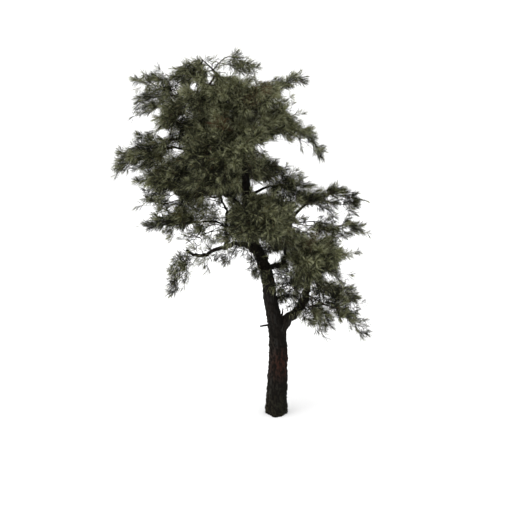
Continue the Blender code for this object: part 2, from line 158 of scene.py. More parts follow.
# The foliage by side of the crown. Each mass grows from a limb towards its tip.
CROWN = {
    "top": {
        "foliage_leader_left": ("trunk", (-2.16, -0.05, 6.52)),
        "foliage_leader_right": ("leader_right", (-0.34, 0.00, 6.50)),
        "foliage_crown_front_left": ("trunk", (-1.84, -1.05, 6.03)),
        "foliage_crown_front_right": ("trunk", (-0.24, -1.05, 6.18)),
        "foliage_crown_back": ("trunk", (-1.25, 1.40, 6.20)),
        "foliage_left_crown": ("bough_left_upper", (-2.72, -0.40, 6.58)),
        "foliage_left_upper": ("bough_left_upper", (-2.76, 0.15, 6.20)),
        "foliage_left_upper_low": ("bough_left_upper", (-2.80, -0.20, 5.84)),
        "foliage_right_crown": ("bough_right_upper", (0.62, 0.10, 6.74)),
    },
    "left": {
        "foliage_left_shoulder": ("trunk", (-2.30, -0.95, 5.56)),
        "foliage_left_middle": ("bough_left_middle", (-3.10, -0.84, 4.74)),
        "foliage_left_heart": ("bough_left_upright", (-2.34, -0.96, 4.64)),
        "foliage_left_arm": ("bough_left_arched", (-2.78, 0.00, 4.60)),
        "foliage_left_back": ("bough_left_arched", (-2.82, 0.30, 4.10)),
        "foliage_left_low": ("bough_left_branch", (-2.66, -0.60, 3.78)),
        "foliage_left_low_inner": ("bough_left_upright", (-1.90, -0.34, 3.52)),
        "foliage_left_hanging": ("bough_left_low", (-2.10, -0.72, 2.40)),
        "foliage_trunk_tuft": ("trunk", (-0.60, -0.32, 2.80)),
        "foliage_left_inner": ("bough_left_low", (-1.00, -0.30, 3.52)),
    },
    "front": {
        "foliage_front_upper": ("trunk", (-0.32, -1.45, 5.34)),
        "foliage_front_middle": ("bough_front_middle", (-1.35, -1.88, 4.94)),
        "foliage_front_low": ("bough_front_low", (-0.20, -1.75, 3.92)),
        "foliage_front_low_right": ("bough_front_low", (0.40, -1.05, 3.80)),
        "foliage_right_upper": ("bough_right_high", (0.46, -0.38, 5.56)),
        "foliage_right_upper_tip": ("bough_right_high", (0.87, -0.20, 5.06)),
    },
    "right": {
        "foliage_right_middle": ("bough_right_middle", (1.78, 0.00, 4.24)),
        "foliage_right_arm": ("bough_right_middle", (1.82, -0.10, 3.58)),
        "foliage_right_heart": ("bough_right_low", (1.38, 0.10, 3.10)),
        "foliage_right_front": ("bough_right_low", (1.20, -1.12, 2.94)),
        "foliage_right_low": ("bough_right_low", (1.82, 0.38, 2.10)),
        "foliage_right_low_tip": ("bough_right_low", (1.68, -0.40, 1.60)),
        "foliage_right_hanging": ("bough_right_low", (0.98, -0.06, 1.48)),
        "foliage_right_inner": ("bough_right_low", (-0.04, 0.42, 2.12)),
        "foliage_right_back": ("bough_right_low", (1.10, 1.45, 2.98)),
        "foliage_right_middle_back": ("bough_right_middle", (0.88, 1.50, 4.18)),
    },
    "back": {
        "foliage_inner_back": ("trunk", (0.20, 1.00, 3.28)),
        "foliage_back_right": ("trunk", (0.08, 1.40, 4.78)),
        "foliage_back_right_low": ("bough_right_back", (0.76, 0.80, 4.50)),
        "foliage_back_upper": ("bough_back_upper", (-1.66, 1.52, 5.52)),
        "foliage_back_middle": ("bough_back_middle", (-1.82, 1.82, 4.60)),
        "foliage_back_low": ("bough_back_low", (0.10, 1.92, 3.84)),
    },
}

# Small sprays that stand clear of the masses, each from its base to its tip.
SPRIGS = {
    "foliage_left_inner": [
        ((-0.99, -0.32, 3.36), (-1.02, -0.38, 3.12)), ((-0.96, -0.31, 3.37), (-0.90, -0.42, 3.14)),
        ((-0.80, -0.20, 3.40), (-0.76, -0.34, 3.24)), ((-0.66, -0.15, 3.40), (-0.64, -0.30, 3.26)),
        ((-1.18, -0.30, 3.28), (-1.12, -0.30, 3.20)), ((-1.03, -0.30, 3.31), (-0.99, -0.30, 3.16))],
    "foliage_left_hanging": [
        ((-1.52, -0.50, 3.22), (-1.56, -0.54, 3.44)), ((-1.34, -0.46, 3.24), (-1.42, -0.50, 3.10)),
        ((-1.85, -0.60, 3.12), (-1.97, -0.60, 2.85)), ((-1.78, -0.60, 3.12), (-1.74, -0.60, 2.85)),
        ((-1.89, -0.60, 2.97), (-2.01, -0.60, 2.66)), ((-1.93, -0.60, 2.85), (-1.90, -0.60, 2.62)),
        ((-1.40, -0.50, 3.26), (-1.44, -0.50, 3.34)), ((-1.21, -0.50, 3.30), (-1.31, -0.50, 3.36)),
        ((-1.93, -0.50, 3.65), (-2.01, -0.50, 3.63)), ((-1.67, -0.55, 3.12), (-1.71, -0.55, 2.96)),
        ((-1.93, -0.60, 2.66), (-1.97, -0.60, 2.53))],
    "foliage_right_arm": [
        ((0.36, 0.18, 3.82), (0.53, 0.06, 3.89)), ((1.30, 0.00, 4.02), (1.40, 0.00, 4.14)),
        ((1.27, 0.00, 3.79), (1.34, 0.00, 3.92)), ((1.03, 0.00, 3.75), (0.99, 0.00, 3.84))],
    "foliage_right_hanging": [
        ((0.45, 0.07, 2.06), (0.56, -0.02, 1.92)), ((0.52, 0.00, 2.32), (0.58, 0.00, 1.94)),
        ((0.34, 0.00, 2.28), (0.26, 0.00, 2.08)), ((0.46, 0.00, 2.40), (0.54, 0.00, 2.04)),
        ((0.40, 0.00, 2.36), (0.34, 0.00, 2.06)), ((0.46, 0.00, 2.40), (0.64, 0.00, 1.86)),
        ((0.50, 0.00, 2.32), (0.70, 0.00, 2.04)), ((0.50, 0.00, 2.36), (0.58, 0.00, 2.16)),
        ((0.50, 0.00, 2.24), (0.26, 0.00, 2.06))],
    "foliage_left_low_inner": [
        ((-1.06, -0.30, 4.05), (-1.46, -0.30, 4.09)), ((-1.06, -0.30, 4.01), (-1.33, -0.30, 3.99)),
        ((-1.17, -0.34, 4.05), (-1.23, -0.34, 3.86)), ((-1.02, -0.34, 3.78), (-1.31, -0.34, 3.86)),
        ((-1.39, -0.36, 3.67), (-1.64, -0.36, 3.69)), ((-1.25, -0.30, 4.09), (-1.18, -0.30, 4.16)),
        ((-1.21, -0.30, 4.20), (-1.50, -0.30, 4.16)), ((-1.29, -0.36, 3.79), (-1.44, -0.36, 3.73)),
        ((-1.33, -0.30, 4.01), (-1.67, -0.30, 4.07)), ((-1.39, -0.30, 4.05), (-1.60, -0.30, 3.97)),
        ((-1.35, -0.36, 3.75), (-1.62, -0.36, 3.65)), ((-1.23, -0.30, 3.89), (-1.16, -0.30, 4.01)),
        ((-1.37, -0.30, 4.05), (-1.35, -0.30, 4.16)), ((-1.41, -0.30, 4.01), (-1.52, -0.30, 4.09)),
        ((-2.13, -0.30, 4.05), (-2.29, -0.30, 4.09)), ((-1.25, -0.30, 4.01), (-1.43, -0.30, 4.13)),
        ((-1.25, -0.30, 4.03), (-1.48, -0.30, 4.05))],
    "foliage_right_middle": [
        ((1.23, 0.00, 4.02), (1.55, 0.00, 4.14)), ((1.28, 0.00, 3.98), (1.42, 0.00, 4.08)),
        ((0.14, 0.10, 4.67), (0.41, 0.10, 4.75)), ((1.03, 0.00, 4.25), (1.26, 0.00, 4.33)),
        ((1.14, 0.00, 4.29), (1.42, 0.00, 4.37)), ((0.91, 0.00, 4.18), (1.07, 0.00, 4.20)),
        ((0.10, 0.10, 4.79), (0.39, 0.10, 4.69)), ((0.70, 0.05, 3.74), (0.78, 0.05, 3.80)),
        ((0.76, 0.05, 4.19), (0.94, 0.05, 4.07)), ((0.68, 0.05, 4.21), (0.82, 0.05, 4.13)),
        ((0.88, 0.05, 4.17), (1.09, 0.05, 4.02)), ((1.03, 0.05, 4.05), (1.09, 0.05, 3.88)),
        ((0.76, 0.05, 3.78), (0.88, 0.05, 3.86))],
    "foliage_right_inner": [
        ((-0.17, 0.10, 3.02), (0.14, 0.10, 2.80)), ((-0.13, 0.10, 3.02), (0.04, 0.10, 2.90)),
        ((-0.17, 0.10, 2.98), (-0.03, 0.10, 2.72)), ((-0.17, 0.15, 3.09), (0.10, 0.15, 2.91)),
        ((-0.09, 0.15, 3.01), (0.18, 0.15, 2.93)), ((-0.17, 0.15, 3.01), (-0.05, 0.15, 2.85)),
        ((-0.02, 0.10, 2.90), (0.16, 0.10, 2.74)), ((-0.06, -0.22, 2.91), (-0.18, -0.22, 2.77)),
        ((-0.04, -0.25, 2.80), (-0.16, -0.25, 2.56)), ((0.04, -0.20, 2.85), (-0.06, -0.20, 2.55))],
    "foliage_right_low_tip": [
        ((1.42, -0.20, 2.32), (1.57, -0.20, 1.90)), ((1.42, -0.20, 2.24), (1.49, -0.20, 2.00)),
        ((1.35, -0.20, 2.20), (1.43, -0.20, 1.88)), ((1.47, -0.20, 2.12), (1.65, -0.20, 1.80))],
    "foliage_right_low": [
        ((0.90, 0.10, 2.14), (1.06, 0.10, 1.74)), ((0.86, 0.10, 2.26), (0.96, 0.10, 1.82)),
        ((0.82, 0.10, 2.42), (0.88, 0.10, 2.28)), ((0.98, 0.10, 2.26), (1.10, 0.10, 2.08)),
        ((0.90, 0.10, 2.34), (1.00, 0.10, 2.14)), ((0.82, 0.10, 2.50), (0.68, 0.10, 2.34)),
        ((0.90, 0.10, 2.06), (1.02, 0.10, 1.84)), ((0.82, 0.10, 2.42), (0.94, 0.10, 2.32)),
        ((0.90, 0.10, 2.02), (0.98, 0.10, 1.76))],
    "foliage_left_crown": [
        ((-2.37, -0.30, 6.23), (-2.62, -0.30, 6.13)), ((-2.16, -0.30, 6.58), (-2.29, -0.30, 6.62)),
        ((-2.29, -0.30, 6.36), (-2.49, -0.30, 6.17)), ((-2.22, -0.30, 6.24), (-2.41, -0.30, 6.06)),
        ((-2.44, -0.30, 6.47), (-2.67, -0.30, 6.54)), ((-2.07, -0.30, 6.47), (-2.35, -0.30, 6.54)),
        ((-2.10, -0.30, 6.50), (-2.27, -0.30, 6.60))],
    "foliage_left_arm": [
        ((-2.54, 0.00, 4.99), (-2.79, 0.00, 4.87)), ((-2.73, 0.00, 5.11), (-3.02, 0.00, 4.84)),
        ((-2.65, 0.00, 5.03), (-2.93, 0.00, 4.87)), ((-2.50, 0.00, 5.07), (-2.65, 0.00, 4.87)),
        ((-2.46, 0.00, 5.03), (-2.54, 0.00, 4.87)), ((-2.77, 0.00, 5.07), (-3.10, 0.00, 4.89)),
        ((-2.84, 0.00, 5.03), (-3.18, 0.00, 4.85)), ((-2.34, 0.00, 5.03), (-2.50, 0.00, 4.89))],
    "foliage_right_upper_tip": [
        ((0.54, -0.20, 5.64), (0.66, -0.20, 5.42)), ((0.66, -0.20, 5.42), (0.79, -0.20, 5.25))],
    "foliage_leader_right": [
        ((0.24, 0.00, 6.70), (0.45, 0.00, 6.51)), ((-0.87, 0.00, 6.96), (-0.75, 0.00, 7.00)),
        ((-0.91, 0.00, 6.93), (-0.85, 0.00, 7.00)), ((-0.79, 0.00, 6.80), (-0.68, 0.00, 6.70)),
        ((-0.94, 0.00, 6.85), (-0.85, 0.00, 6.80))],
    "foliage_trunk_tuft": [
        ((-0.33, -0.12, 3.15), (-0.44, -0.12, 3.13)), ((-0.31, -0.12, 3.09), (-0.42, -0.12, 3.03)),
        ((-0.29, -0.12, 3.01), (-0.38, -0.12, 2.94)), ((-0.25, -0.12, 2.94), (-0.32, -0.12, 2.80)),
        ((-0.27, -0.14, 2.98), (-0.36, -0.14, 2.86)), ((-0.37, -0.12, 3.21), (-0.50, -0.12, 3.15))],
    "foliage_left_upper": [
        ((-2.24, -0.10, 6.19), (-2.51, -0.10, 6.23)), ((-2.24, -0.10, 6.12), (-2.58, -0.10, 6.10)),
        ((-2.35, -0.10, 6.17), (-2.64, -0.10, 6.17)), ((-1.96, -0.10, 6.06), (-2.11, -0.10, 6.15)),
        ((-1.94, -0.10, 6.13), (-2.09, -0.10, 6.08))],
    "foliage_leader_left": [
        ((-1.82, -0.05, 6.40), (-2.01, -0.05, 6.47)), ((-1.84, -0.05, 6.34), (-2.03, -0.05, 6.38)),
        ((-1.34, 0.00, 6.85), (-1.40, 0.00, 6.95))],
}

# The step of its limb's line at which a mass's stem leaves, where that is not the nearest.
LEAVES = {"foliage_right_arm": 55}

# Masses within the crown, which run into their neighbours. The others keep to the crown's outline.
INNER = {"foliage_front_upper", "foliage_front_middle", "foliage_front_low", "foliage_front_low_right",
         "foliage_right_front", "foliage_right_heart", "foliage_left_heart", "foliage_left_shoulder",
         "foliage_crown_front_left", "foliage_crown_front_right", "foliage_crown_back",
         "foliage_back_middle", "foliage_back_upper", "foliage_back_low", "foliage_right_upper"}
INNER_EDGE = (0.02, 0.34)  # how deep the shoots' tips stay, and how far the lobes change that
OUTER_EDGE = (0.078, 0.12)

# Openings through the crown: the middle (x, z) and the half sizes of each, in the plane of the trunk, as
# they show from the open side.
EYE = np.array((-0.41, -19.31, 5.87))  # far out on the open side
SKY_GAPS = np.array([
    (0.72, 3.98, 0.31, 0.20), (0.51, 3.67, 0.10, 0.08), (1.05, 3.86, 0.25, 0.12), (1.21, 3.81, 0.12, 0.09),
    (0.02, 5.27, 0.41, 0.16), (-0.33, 5.27, 0.12, 0.09), (0.03, 5.45, 0.15, 0.06), (0.52, 5.38, 0.10, 0.07),
    (0.61, 5.23, 0.10, 0.16), (-0.95, 6.71, 0.18, 0.10), (-2.04, 4.28, 0.14, 0.11),
    (1.32, 2.88, 0.10, 0.24), (1.41, 2.65, 0.09, 0.07), (-0.35, 4.46, 0.16, 0.11), (0.33, 6.00, 0.18, 0.11),
    (0.17, 6.31, 0.10, 0.09), (-2.58, 5.69, 0.33, 0.12), (-2.20, 5.53, 0.14, 0.10),
    (-2.31, 5.95, 0.10, 0.09), (-1.67, 2.83, 0.10, 0.17), (0.53, 6.64, 0.13, 0.10),
    (0.09, 4.95, 0.10, 0.08), (-0.24, 6.63, 0.21, 0.13), (-1.26, 6.53, 0.07, 0.11),
    (-2.49, 4.13, 0.14, 0.07), (-2.39, 4.10, 0.06, 0.10), (-2.54, 3.92, 0.09, 0.10),
    (-1.22, 3.61, 0.13, 0.06), (-1.70, 3.47, 0.16, 0.08), (-2.87, 5.33, 0.09, 0.11),
    (1.35, 1.85, 0.10, 0.09), (-1.25, 4.23, 0.12, 0.12), (-2.14, 2.64, 0.08, 0.20),
    (-1.82, 2.78, 0.06, 0.08), (-2.67, 6.66, 0.14, 0.09), (0.95, 4.52, 0.08, 0.05),
    (1.03, 4.27, 0.10, 0.08), (-2.05, 4.08, 0.09, 0.06), (0.55, 5.71, 0.13, 0.07), (0.75, 5.59, 0.11, 0.07),
    (-1.60, 6.43, 0.08, 0.08), (1.37, 3.68, 0.10, 0.05), (-1.87, 2.56, 0.06, 0.08),
    (-2.61, 6.39, 0.06, 0.08), (-2.66, 4.31, 0.08, 0.08), (0.25, 2.97, 0.05, 0.07),
    (-0.66, 6.97, 0.11, 0.07), (-2.66, 3.68, 0.11, 0.07), (1.64, 4.34, 0.09, 0.07),
    (-1.02, 4.07, 0.09, 0.20), (0.71, 1.73, 0.07, 0.05), (-0.05, 3.10, 0.13, 0.08),
    (0.00, 2.82, 0.08, 0.06), (-1.92, 6.86, 0.13, 0.08), (1.00, 2.73, 0.06, 0.05),
    (-0.80, 3.14, 0.10, 0.10), (-2.66, 4.76, 0.08, 0.08), (1.74, 3.71, 0.08, 0.08),
    (-0.69, 3.02, 0.13, 0.18), (-0.58, 2.78, 0.11, 0.14), (1.70, 1.76, 0.07, 0.12),
    (-1.68, 3.75, 0.08, 0.06), (0.56, 4.64, 0.06, 0.06), (-1.95, 5.22, 0.12, 0.06),
    (0.24, 2.02, 0.20, 0.18), (0.83, 5.39, 0.14, 0.15), (0.97, 5.10, 0.09, 0.14), (0.41, 3.99, 0.12, 0.15),
    (0.34, 3.76, 0.09, 0.07), (0.46, 5.83, 0.09, 0.11), (-2.18, 2.38, 0.12, 0.22),
    (-1.61, 3.43, 0.17, 0.10), (0.55, 3.82, 0.18, 0.10), (1.48, 3.89, 0.10, 0.07),
    (-2.68, 6.05, 0.09, 0.10), (1.28, 4.59, 0.12, 0.07), (-2.64, 6.31, 0.09, 0.09),
    (-3.23, 4.76, 0.07, 0.10), (-2.71, 4.17, 0.09, 0.07), (0.99, 2.76, 0.11, 0.08),
])
# Openings in the foliage before the trunk, told in the same way.
TRUNK_GAPS = np.array([
    (-0.60, 4.60, 0.12, 0.46), (-0.39, 3.25, 0.18, 0.26), (-0.26, 2.73, 0.07, 0.27),
    (0.12, 3.22, 0.06, 0.19),
])

# Spots where the crown is thin, in shade or in light, told in the same way, each with how much further
# apart its shoots stand and how much darker they are.
SPOTS = np.array([
    (-1.39, 5.51, 0.52, 0.19, 0.10, 0.60), (-1.22, 5.16, 0.39, 0.21, 0.00, 0.30),
    (-1.69, 4.99, 0.23, 0.23, 0.00, 0.40), (0.10, 2.70, 0.20, 0.22, 0.00, 1.00),
    (0.85, 2.32, 0.31, 0.22, 0.00, 1.00), (-0.43, 3.27, 0.35, 0.18, 0.00, 0.75),
    (-2.02, 6.21, 0.35, 0.17, 0.00, 0.50), (-2.67, 4.89, 0.18, 0.15, 0.00, 0.70),
    (1.30, 4.27, 0.19, 0.19, 0.00, 1.10), (-2.46, 6.02, 0.17, 0.13, 0.00, 0.40),
    (1.49, 2.04, 0.18, 0.12, 0.00, 0.70), (-0.01, 5.58, 0.21, 0.15, 0.00, 0.65),
    (0.24, 2.18, 0.24, 0.14, 0.00, 0.65), (-2.28, 3.71, 0.18, 0.14, 0.00, 0.60),
    (-0.53, 4.04, 0.19, 0.18, 0.00, 0.50), (-2.51, 5.39, 0.23, 0.17, 0.00, 0.70),
    (-1.81, 5.83, 0.16, 0.17, 0.00, 0.70), (-1.87, 4.16, 0.20, 0.16, 0.00, 0.60),
    (0.21, 4.29, 0.23, 0.14, 0.00, 0.70), (0.04, 4.74, 0.17, 0.17, 0.00, 0.60),
    (-1.93, 5.53, 0.17, 0.13, 0.40, 0.00), (-0.47, 5.78, 0.31, 0.13, 0.55, -0.45),
    (-1.41, 6.34, 0.17, 0.11, 0.45, -0.40), (-1.75, 4.23, 0.23, 0.18, 0.20, 0.00),
    (-2.13, 5.16, 0.18, 0.13, 0.40, 0.00), (0.81, 4.39, 0.19, 0.12, 0.20, 0.00),
    (-2.39, 4.56, 0.22, 0.19, 0.30, 0.00), (1.08, 2.84, 0.15, 0.20, 0.35, 0.00),
    (-1.42, 4.33, 0.18, 0.16, 0.40, -0.40), (-1.68, 5.83, 0.14, 0.10, 0.30, 0.00),
    (1.21, 3.47, 0.15, 0.28, 0.30, 0.00), (0.39, 2.96, 0.18, 0.20, 0.00, -0.55),
    (-0.39, 5.22, 0.15, 0.13, 0.00, -0.55), (-0.57, 4.51, 0.16, 0.16, 0.00, -0.50),
])
THINNER, DARKER = 4, 5  # where each spot tells the two

# Bare twigs: a radius where each leaves and where it ends, and its line.
BARE_TWIGS = {
    "curl": (0.008, 0.004, [
        (-1.24, 0.00, 6.75), (-1.25, 0.00, 6.82), (-1.22, -0.02, 6.88), (-1.15, -0.03, 6.89),
        (-1.14, -0.02, 6.85), (-1.19, 0.00, 6.82), (-1.20, 0.01, 6.76), (-1.17, 0.00, 6.69),
        (-1.07, -0.02, 6.69), (-1.00, -0.04, 6.69), (-0.96, -0.05, 6.64)]),
    "snag": (0.022, 0.012, [(0.10, 0.00, 1.90), (0.11, -0.02, 2.02), (0.12, -0.03, 2.12)]),
    "crossing": (0.024, 0.016, [(-0.96, -0.30, 4.03), (-0.87, -0.20, 4.09), (-0.76, -0.05, 4.15)]),
    "upright_right": (0.009, 0.004, [
        (-0.98, -0.28, 4.09), (-0.93, -0.26, 4.17), (-0.88, -0.24, 4.23), (-0.85, -0.22, 4.27)]),
    "upright_left": (0.010, 0.004, [
        (-0.99, -0.28, 4.12), (-1.06, -0.30, 4.14), (-1.11, -0.31, 4.18), (-1.10, -0.32, 4.24)]),
    "upright_far": (0.010, 0.005, [
        (-1.05, -0.28, 4.22), (-1.18, -0.30, 4.26), (-1.33, -0.33, 4.30), (-1.46, -0.36, 4.32)]),
    "upright_top": (0.009, 0.004, [(-1.03, -0.28, 4.18), (-1.07, -0.26, 4.27), (-1.12, -0.25, 4.40)]),
    "low_branch": (0.011, 0.006, [
        (-1.00, -0.31, 3.73), (-1.18, -0.36, 3.69), (-1.33, -0.38, 3.66), (-1.48, -0.40, 3.60)]),
    "second_branch": (0.010, 0.006, [
        (-1.00, -0.31, 3.76), (-1.16, -0.36, 3.82), (-1.29, -0.38, 3.80), (-1.42, -0.40, 3.74)]),
    "hanging_near": (0.008, 0.004, [(-1.34, -0.46, 3.24), (-1.28, -0.47, 3.18), (-1.27, -0.48, 3.11)]),
    "right_level": (0.009, 0.006, [
        (0.30, 0.15, 3.79), (0.53, 0.12, 3.75), (0.73, 0.10, 3.74),
        (0.92, 0.05, 3.71), (1.19, 0.00, 3.70)]),
    "right_tuft": (0.007, 0.005, [(0.50, 0.12, 3.75), (0.55, 0.10, 3.84)]),
    "right_fork": (0.007, 0.004, [(0.55, 0.12, 3.73), (0.63, 0.10, 3.65)]),
    "star_0": (0.005, 0.003, [(0.55, 0.12, 3.83), (0.48, 0.12, 3.90)]),
    "star_1": (0.005, 0.003, [(0.55, 0.12, 3.83), (0.52, 0.12, 3.95)]),
    "star_2": (0.005, 0.003, [(0.55, 0.12, 3.83), (0.57, 0.12, 3.94)]),
    "star_3": (0.005, 0.003, [(0.55, 0.12, 3.83), (0.63, 0.12, 3.90)]),
    "star_4": (0.005, 0.003, [(0.55, 0.12, 3.83), (0.47, 0.12, 3.83)]),
    "leader_side": (0.008, 0.004, [
        (-1.08, 0.00, 6.83), (-0.94, 0.00, 6.84), (-0.79, 0.00, 6.80), (-0.60, 0.00, 6.68)]),
    "hanging_far": (0.008, 0.004, [(-1.50, -0.50, 3.21), (-1.56, -0.50, 3.16), (-1.61, -0.51, 3.10)]),
}

# Finishes, each as its roughness and its specular level.
BARK_FINISH = (0.9, 0.08)
NEEDLE_FINISH = (0.6, 0.15)
FLOOR_FINISH = (0.9, 0.1)
FRESH_BARK = (0.10, -0.16, 1.02)  # the middle of the patch that has flaked lately

# The first five tones run from painted deep shade to painted highlight, mixed with random tone; yellow and
# dry are the needles' own colours.
NEEDLE_TONES = ("deep", "dark", "green", "painted_lit", "bright", "yellow", "dry")
LIGHTEST, YELLOW, DRY = 4, 5, 6
TONE_STEPS = (0.19, 0.42, 0.64, 0.89)  # the light at which each lighter tone starts
FADED_SHARE = 0.010  # of all shoots are yellow, and as many of all needles dry
DRY_SPOTS = [(-1.08, 5.72), (-0.49, 6.19), (0.63, 3.45), (-0.26, 6.42)]  # as the gaps are told
PATCH = 0.22  # neighbouring shoots within this distance take much the same light

# What gives a shoot and its needles their painted light and shade, or takes it.
LIGHT, LIT_BY_CHANCE, LIT_BY_HEIGHT, LIT_BY_PATCH = -0.06, 0.75, 0.60, 0.60
LIT_AT_TOP, LIT_AT_TIP, SHADED_BY_DEPTH, SPRIG_SHADE = 0.25, 1.00, 5.5, 0.20

LEAN_AT_TIP, MORE_WHEN_OLD = 13, 52  # degrees that a needle leans away from its shoot
SPLAY = 0.09  # how far the two needles of a pair stand apart
YOUNG_SHORTER = 0.22  # of their length, for the needles at the tip
GAP_EDGE = (-0.30, 0.25)  # how far needles reach into a gap: the middle and the spread
BARE_SHARE = 0.35  # a shoot that keeps fewer of its needles has none
BOX_SHARE = 0.85  # the share of a margin round the solid model's box, 3% of its size and 1 cm, that the needles may stand out by
TWIG_RADII = (0.0018, 0.0014, 0.022)  # the thinnest, the growth by each shoot borne, the thickest

FLOOR_RADIUS = 60.0
KEY_WAY = Vector((0.45, 0.55, -1.0))  # the way that the soft light falls
KEY_WIDTH = math.radians(75.0)


# ---------------------------------------------------------------- settings


def colour_setting(name, description, rgb):
    """A setting that is a colour."""
    return FloatVectorProperty(name=name, description=description, default=rgb, subtype="COLOR")


def length_setting(name, description, metres):
    """A setting that is a length."""
    return FloatProperty(name=name, description=description, default=metres, unit="LENGTH")


class PineBark(bpy.types.PropertyGroup):
    """The bark of the trunk and boughs."""

    plate_width: length_setting("Plate width", "Width of a bark plate", 0.040)
    plate_height: length_setting("Plate height", "Height of a bark plate", 0.200)
    plate_relief: length_setting("Plate relief", "Depth of the cracks between plates", 0.020)
    plate_colour: colour_setting("Plate", "Colour of the bark plates", (0.0141, 0.0108, 0.0083))
    weathered_colour: colour_setting("Weathered", "Colour of weathered bark", (0.0195, 0.0187, 0.0170))
    crack_colour: colour_setting("Cracks", "Colour deep in the cracks", (0.0050, 0.0040, 0.0030))
    rust_colour: colour_setting("Rust", "Colour of freshly flaked bark", (0.0398, 0.0124, 0.0066))
    moss_colour: colour_setting("Moss", "Colour of the green on damp bark", (0.0199, 0.0199, 0.0075))


class PineFoliage(bpy.types.PropertyGroup):
    """The twigs and needles."""

    shoot_spacing: length_setting("Shoot spacing", "Room that each shoot takes", 0.094)
    needle_length: length_setting("Needle length", "Length of a grown needle", 0.200)
    needle_width: length_setting("Needle width", "Width of a needle at its widest", 0.0068)
    pairs: IntProperty(name="Needle pairs", description="Pairs of needles on each shoot",
                       default=13, min=4)
    twig_colour: colour_setting("Twigs", "Colour of the twigs", (0.0216, 0.0158, 0.0116))
    # The first five needle colours are painted shade and light, from deep shade to highlight, dealt out with
    # random tone; the yellow and dry ones are the needles' own colours.
    deep_colour: colour_setting("Deep needles", "Needles in painted deep shade", (0.0062, 0.0066, 0.0025))
    dark_colour: colour_setting("Dark needles", "Needles in painted shade", (0.0199, 0.0212, 0.0083))
    green_colour: colour_setting("Green needles", "Needles in painted middle light", (0.0548, 0.0581, 0.0249))
    painted_lit_colour: colour_setting("Painted lit needles", "Needles in painted light", (0.1180, 0.1220, 0.0560))
    bright_colour: colour_setting("Bright needles", "Needles in painted highlight", (0.2650, 0.2730, 0.1620))
    yellow_colour: colour_setting("Yellow needles", "Needles that are fading", (0.1245, 0.1096, 0.0398))
    dry_colour: colour_setting("Dry needles", "Needles about to drop", (0.0913, 0.0515, 0.0249))


class PineStage(bpy.types.PropertyGroup):
    """The floor, the light and the camera."""

    floor_colour: colour_setting("Floor", "Colour of the floor", (0.92, 0.92, 0.92))
    sky_strength: FloatProperty(name="Surround", description="Brightness of the white surround",
                                default=1.2)
    key_strength: FloatProperty(name="Key light", description="Strength of the wide soft light",
                                default=1.56)
    lens: FloatProperty(name="Lens", description="Focal length in millimetres", default=70.0)
    distance: length_setting("Distance", "From the camera to the tree", 19.5)
    height: FloatProperty(name="Angle", description="The camera's angle above level",
                          default=math.radians(8.0), subtype="ANGLE")
    aim: FloatVectorProperty(name="Aim", description="The point that the camera faces",
                             default=(-0.41, 0.0, 3.155), subtype="XYZ")


# ---------------------------------------------------------------- materials


class Nodes:
    """A material under construction, with short ways to add and join its nodes."""

    def __init__(self, name, roughness, specular):
        self.material = bpy.data.materials.new(name)
        self.material.use_nodes = True
        self.tree = self.material.node_tree
        self.shader = self.tree.nodes["Principled BSDF"]
        self.shader.inputs["Roughness"].default_value = roughness
        self.shader.inputs["Specular IOR Level"].default_value = specular

    def add(self, kind, inputs=None, **settings):
        """A new node, with its settings and with values or sockets for its inputs."""
        node = self.tree.nodes.new(kind)
        for key, value in settings.items():
            setattr(node, key, value)
        for key, value in (inputs or {}).items():
            self.feed(node, key, value)
        return node

    def feed(self, node, key, value):
        socket = node.inputs[key]
        if isinstance(value, bpy.types.NodeSocket):
            self.tree.links.new(value, socket)
        else:
            socket.default_value = value

    def plain(self, rgb):
        self.shader.inputs["Base Color"].default_value = (*rgb, 1.0)
        self.material.diffuse_color = (*rgb, 1.0)

    def noise(self, place, scale, detail, roughness=0.5):
        settings = {"Vector": place, "Scale": scale, "Detail": detail, "Roughness": roughness}
        return self.add("ShaderNodeTexNoise", settings).outputs["Fac"]

    def attribute(self, name):
        return self.add("ShaderNodeAttribute", attribute_name=name).outputs["Fac"]

    def ramp(self, value, low, high, to_low=0.0, to_high=1.0):
        settings = {"Value": value, "From Min": low, "From Max": high, "To Min": to_low, "To Max": to_high}
        return self.add("ShaderNodeMapRange", settings).outputs["Result"]

    def times(self, value, other):
        return self.add("ShaderNodeMath", {0: value, 1: other}, operation="MULTIPLY").outputs["Value"]

    def scaled(self, rgb, share):
        node = self.add("ShaderNodeVectorMath", {0: rgb, "Scale": share}, operation="SCALE")
        return node.outputs["Vector"]

    def blend(self, share, first, second):
        """Two colours mixed, each given as a socket or as red, green and blue."""
        first, second = (c if isinstance(c, bpy.types.NodeSocket) else (*c, 1) for c in (first, second))
        node = self.add("ShaderNodeMix", {"Factor": share, "A": first, "B": second}, data_type="RGBA")
        return node.outputs["Result"]


def plain_material(name, rgb, roughness, specular):
    """A material of one colour, for small things that are dealt out in several tones."""
    nodes = Nodes(name, roughness, specular)
    nodes.plain(rgb)
    return nodes.material


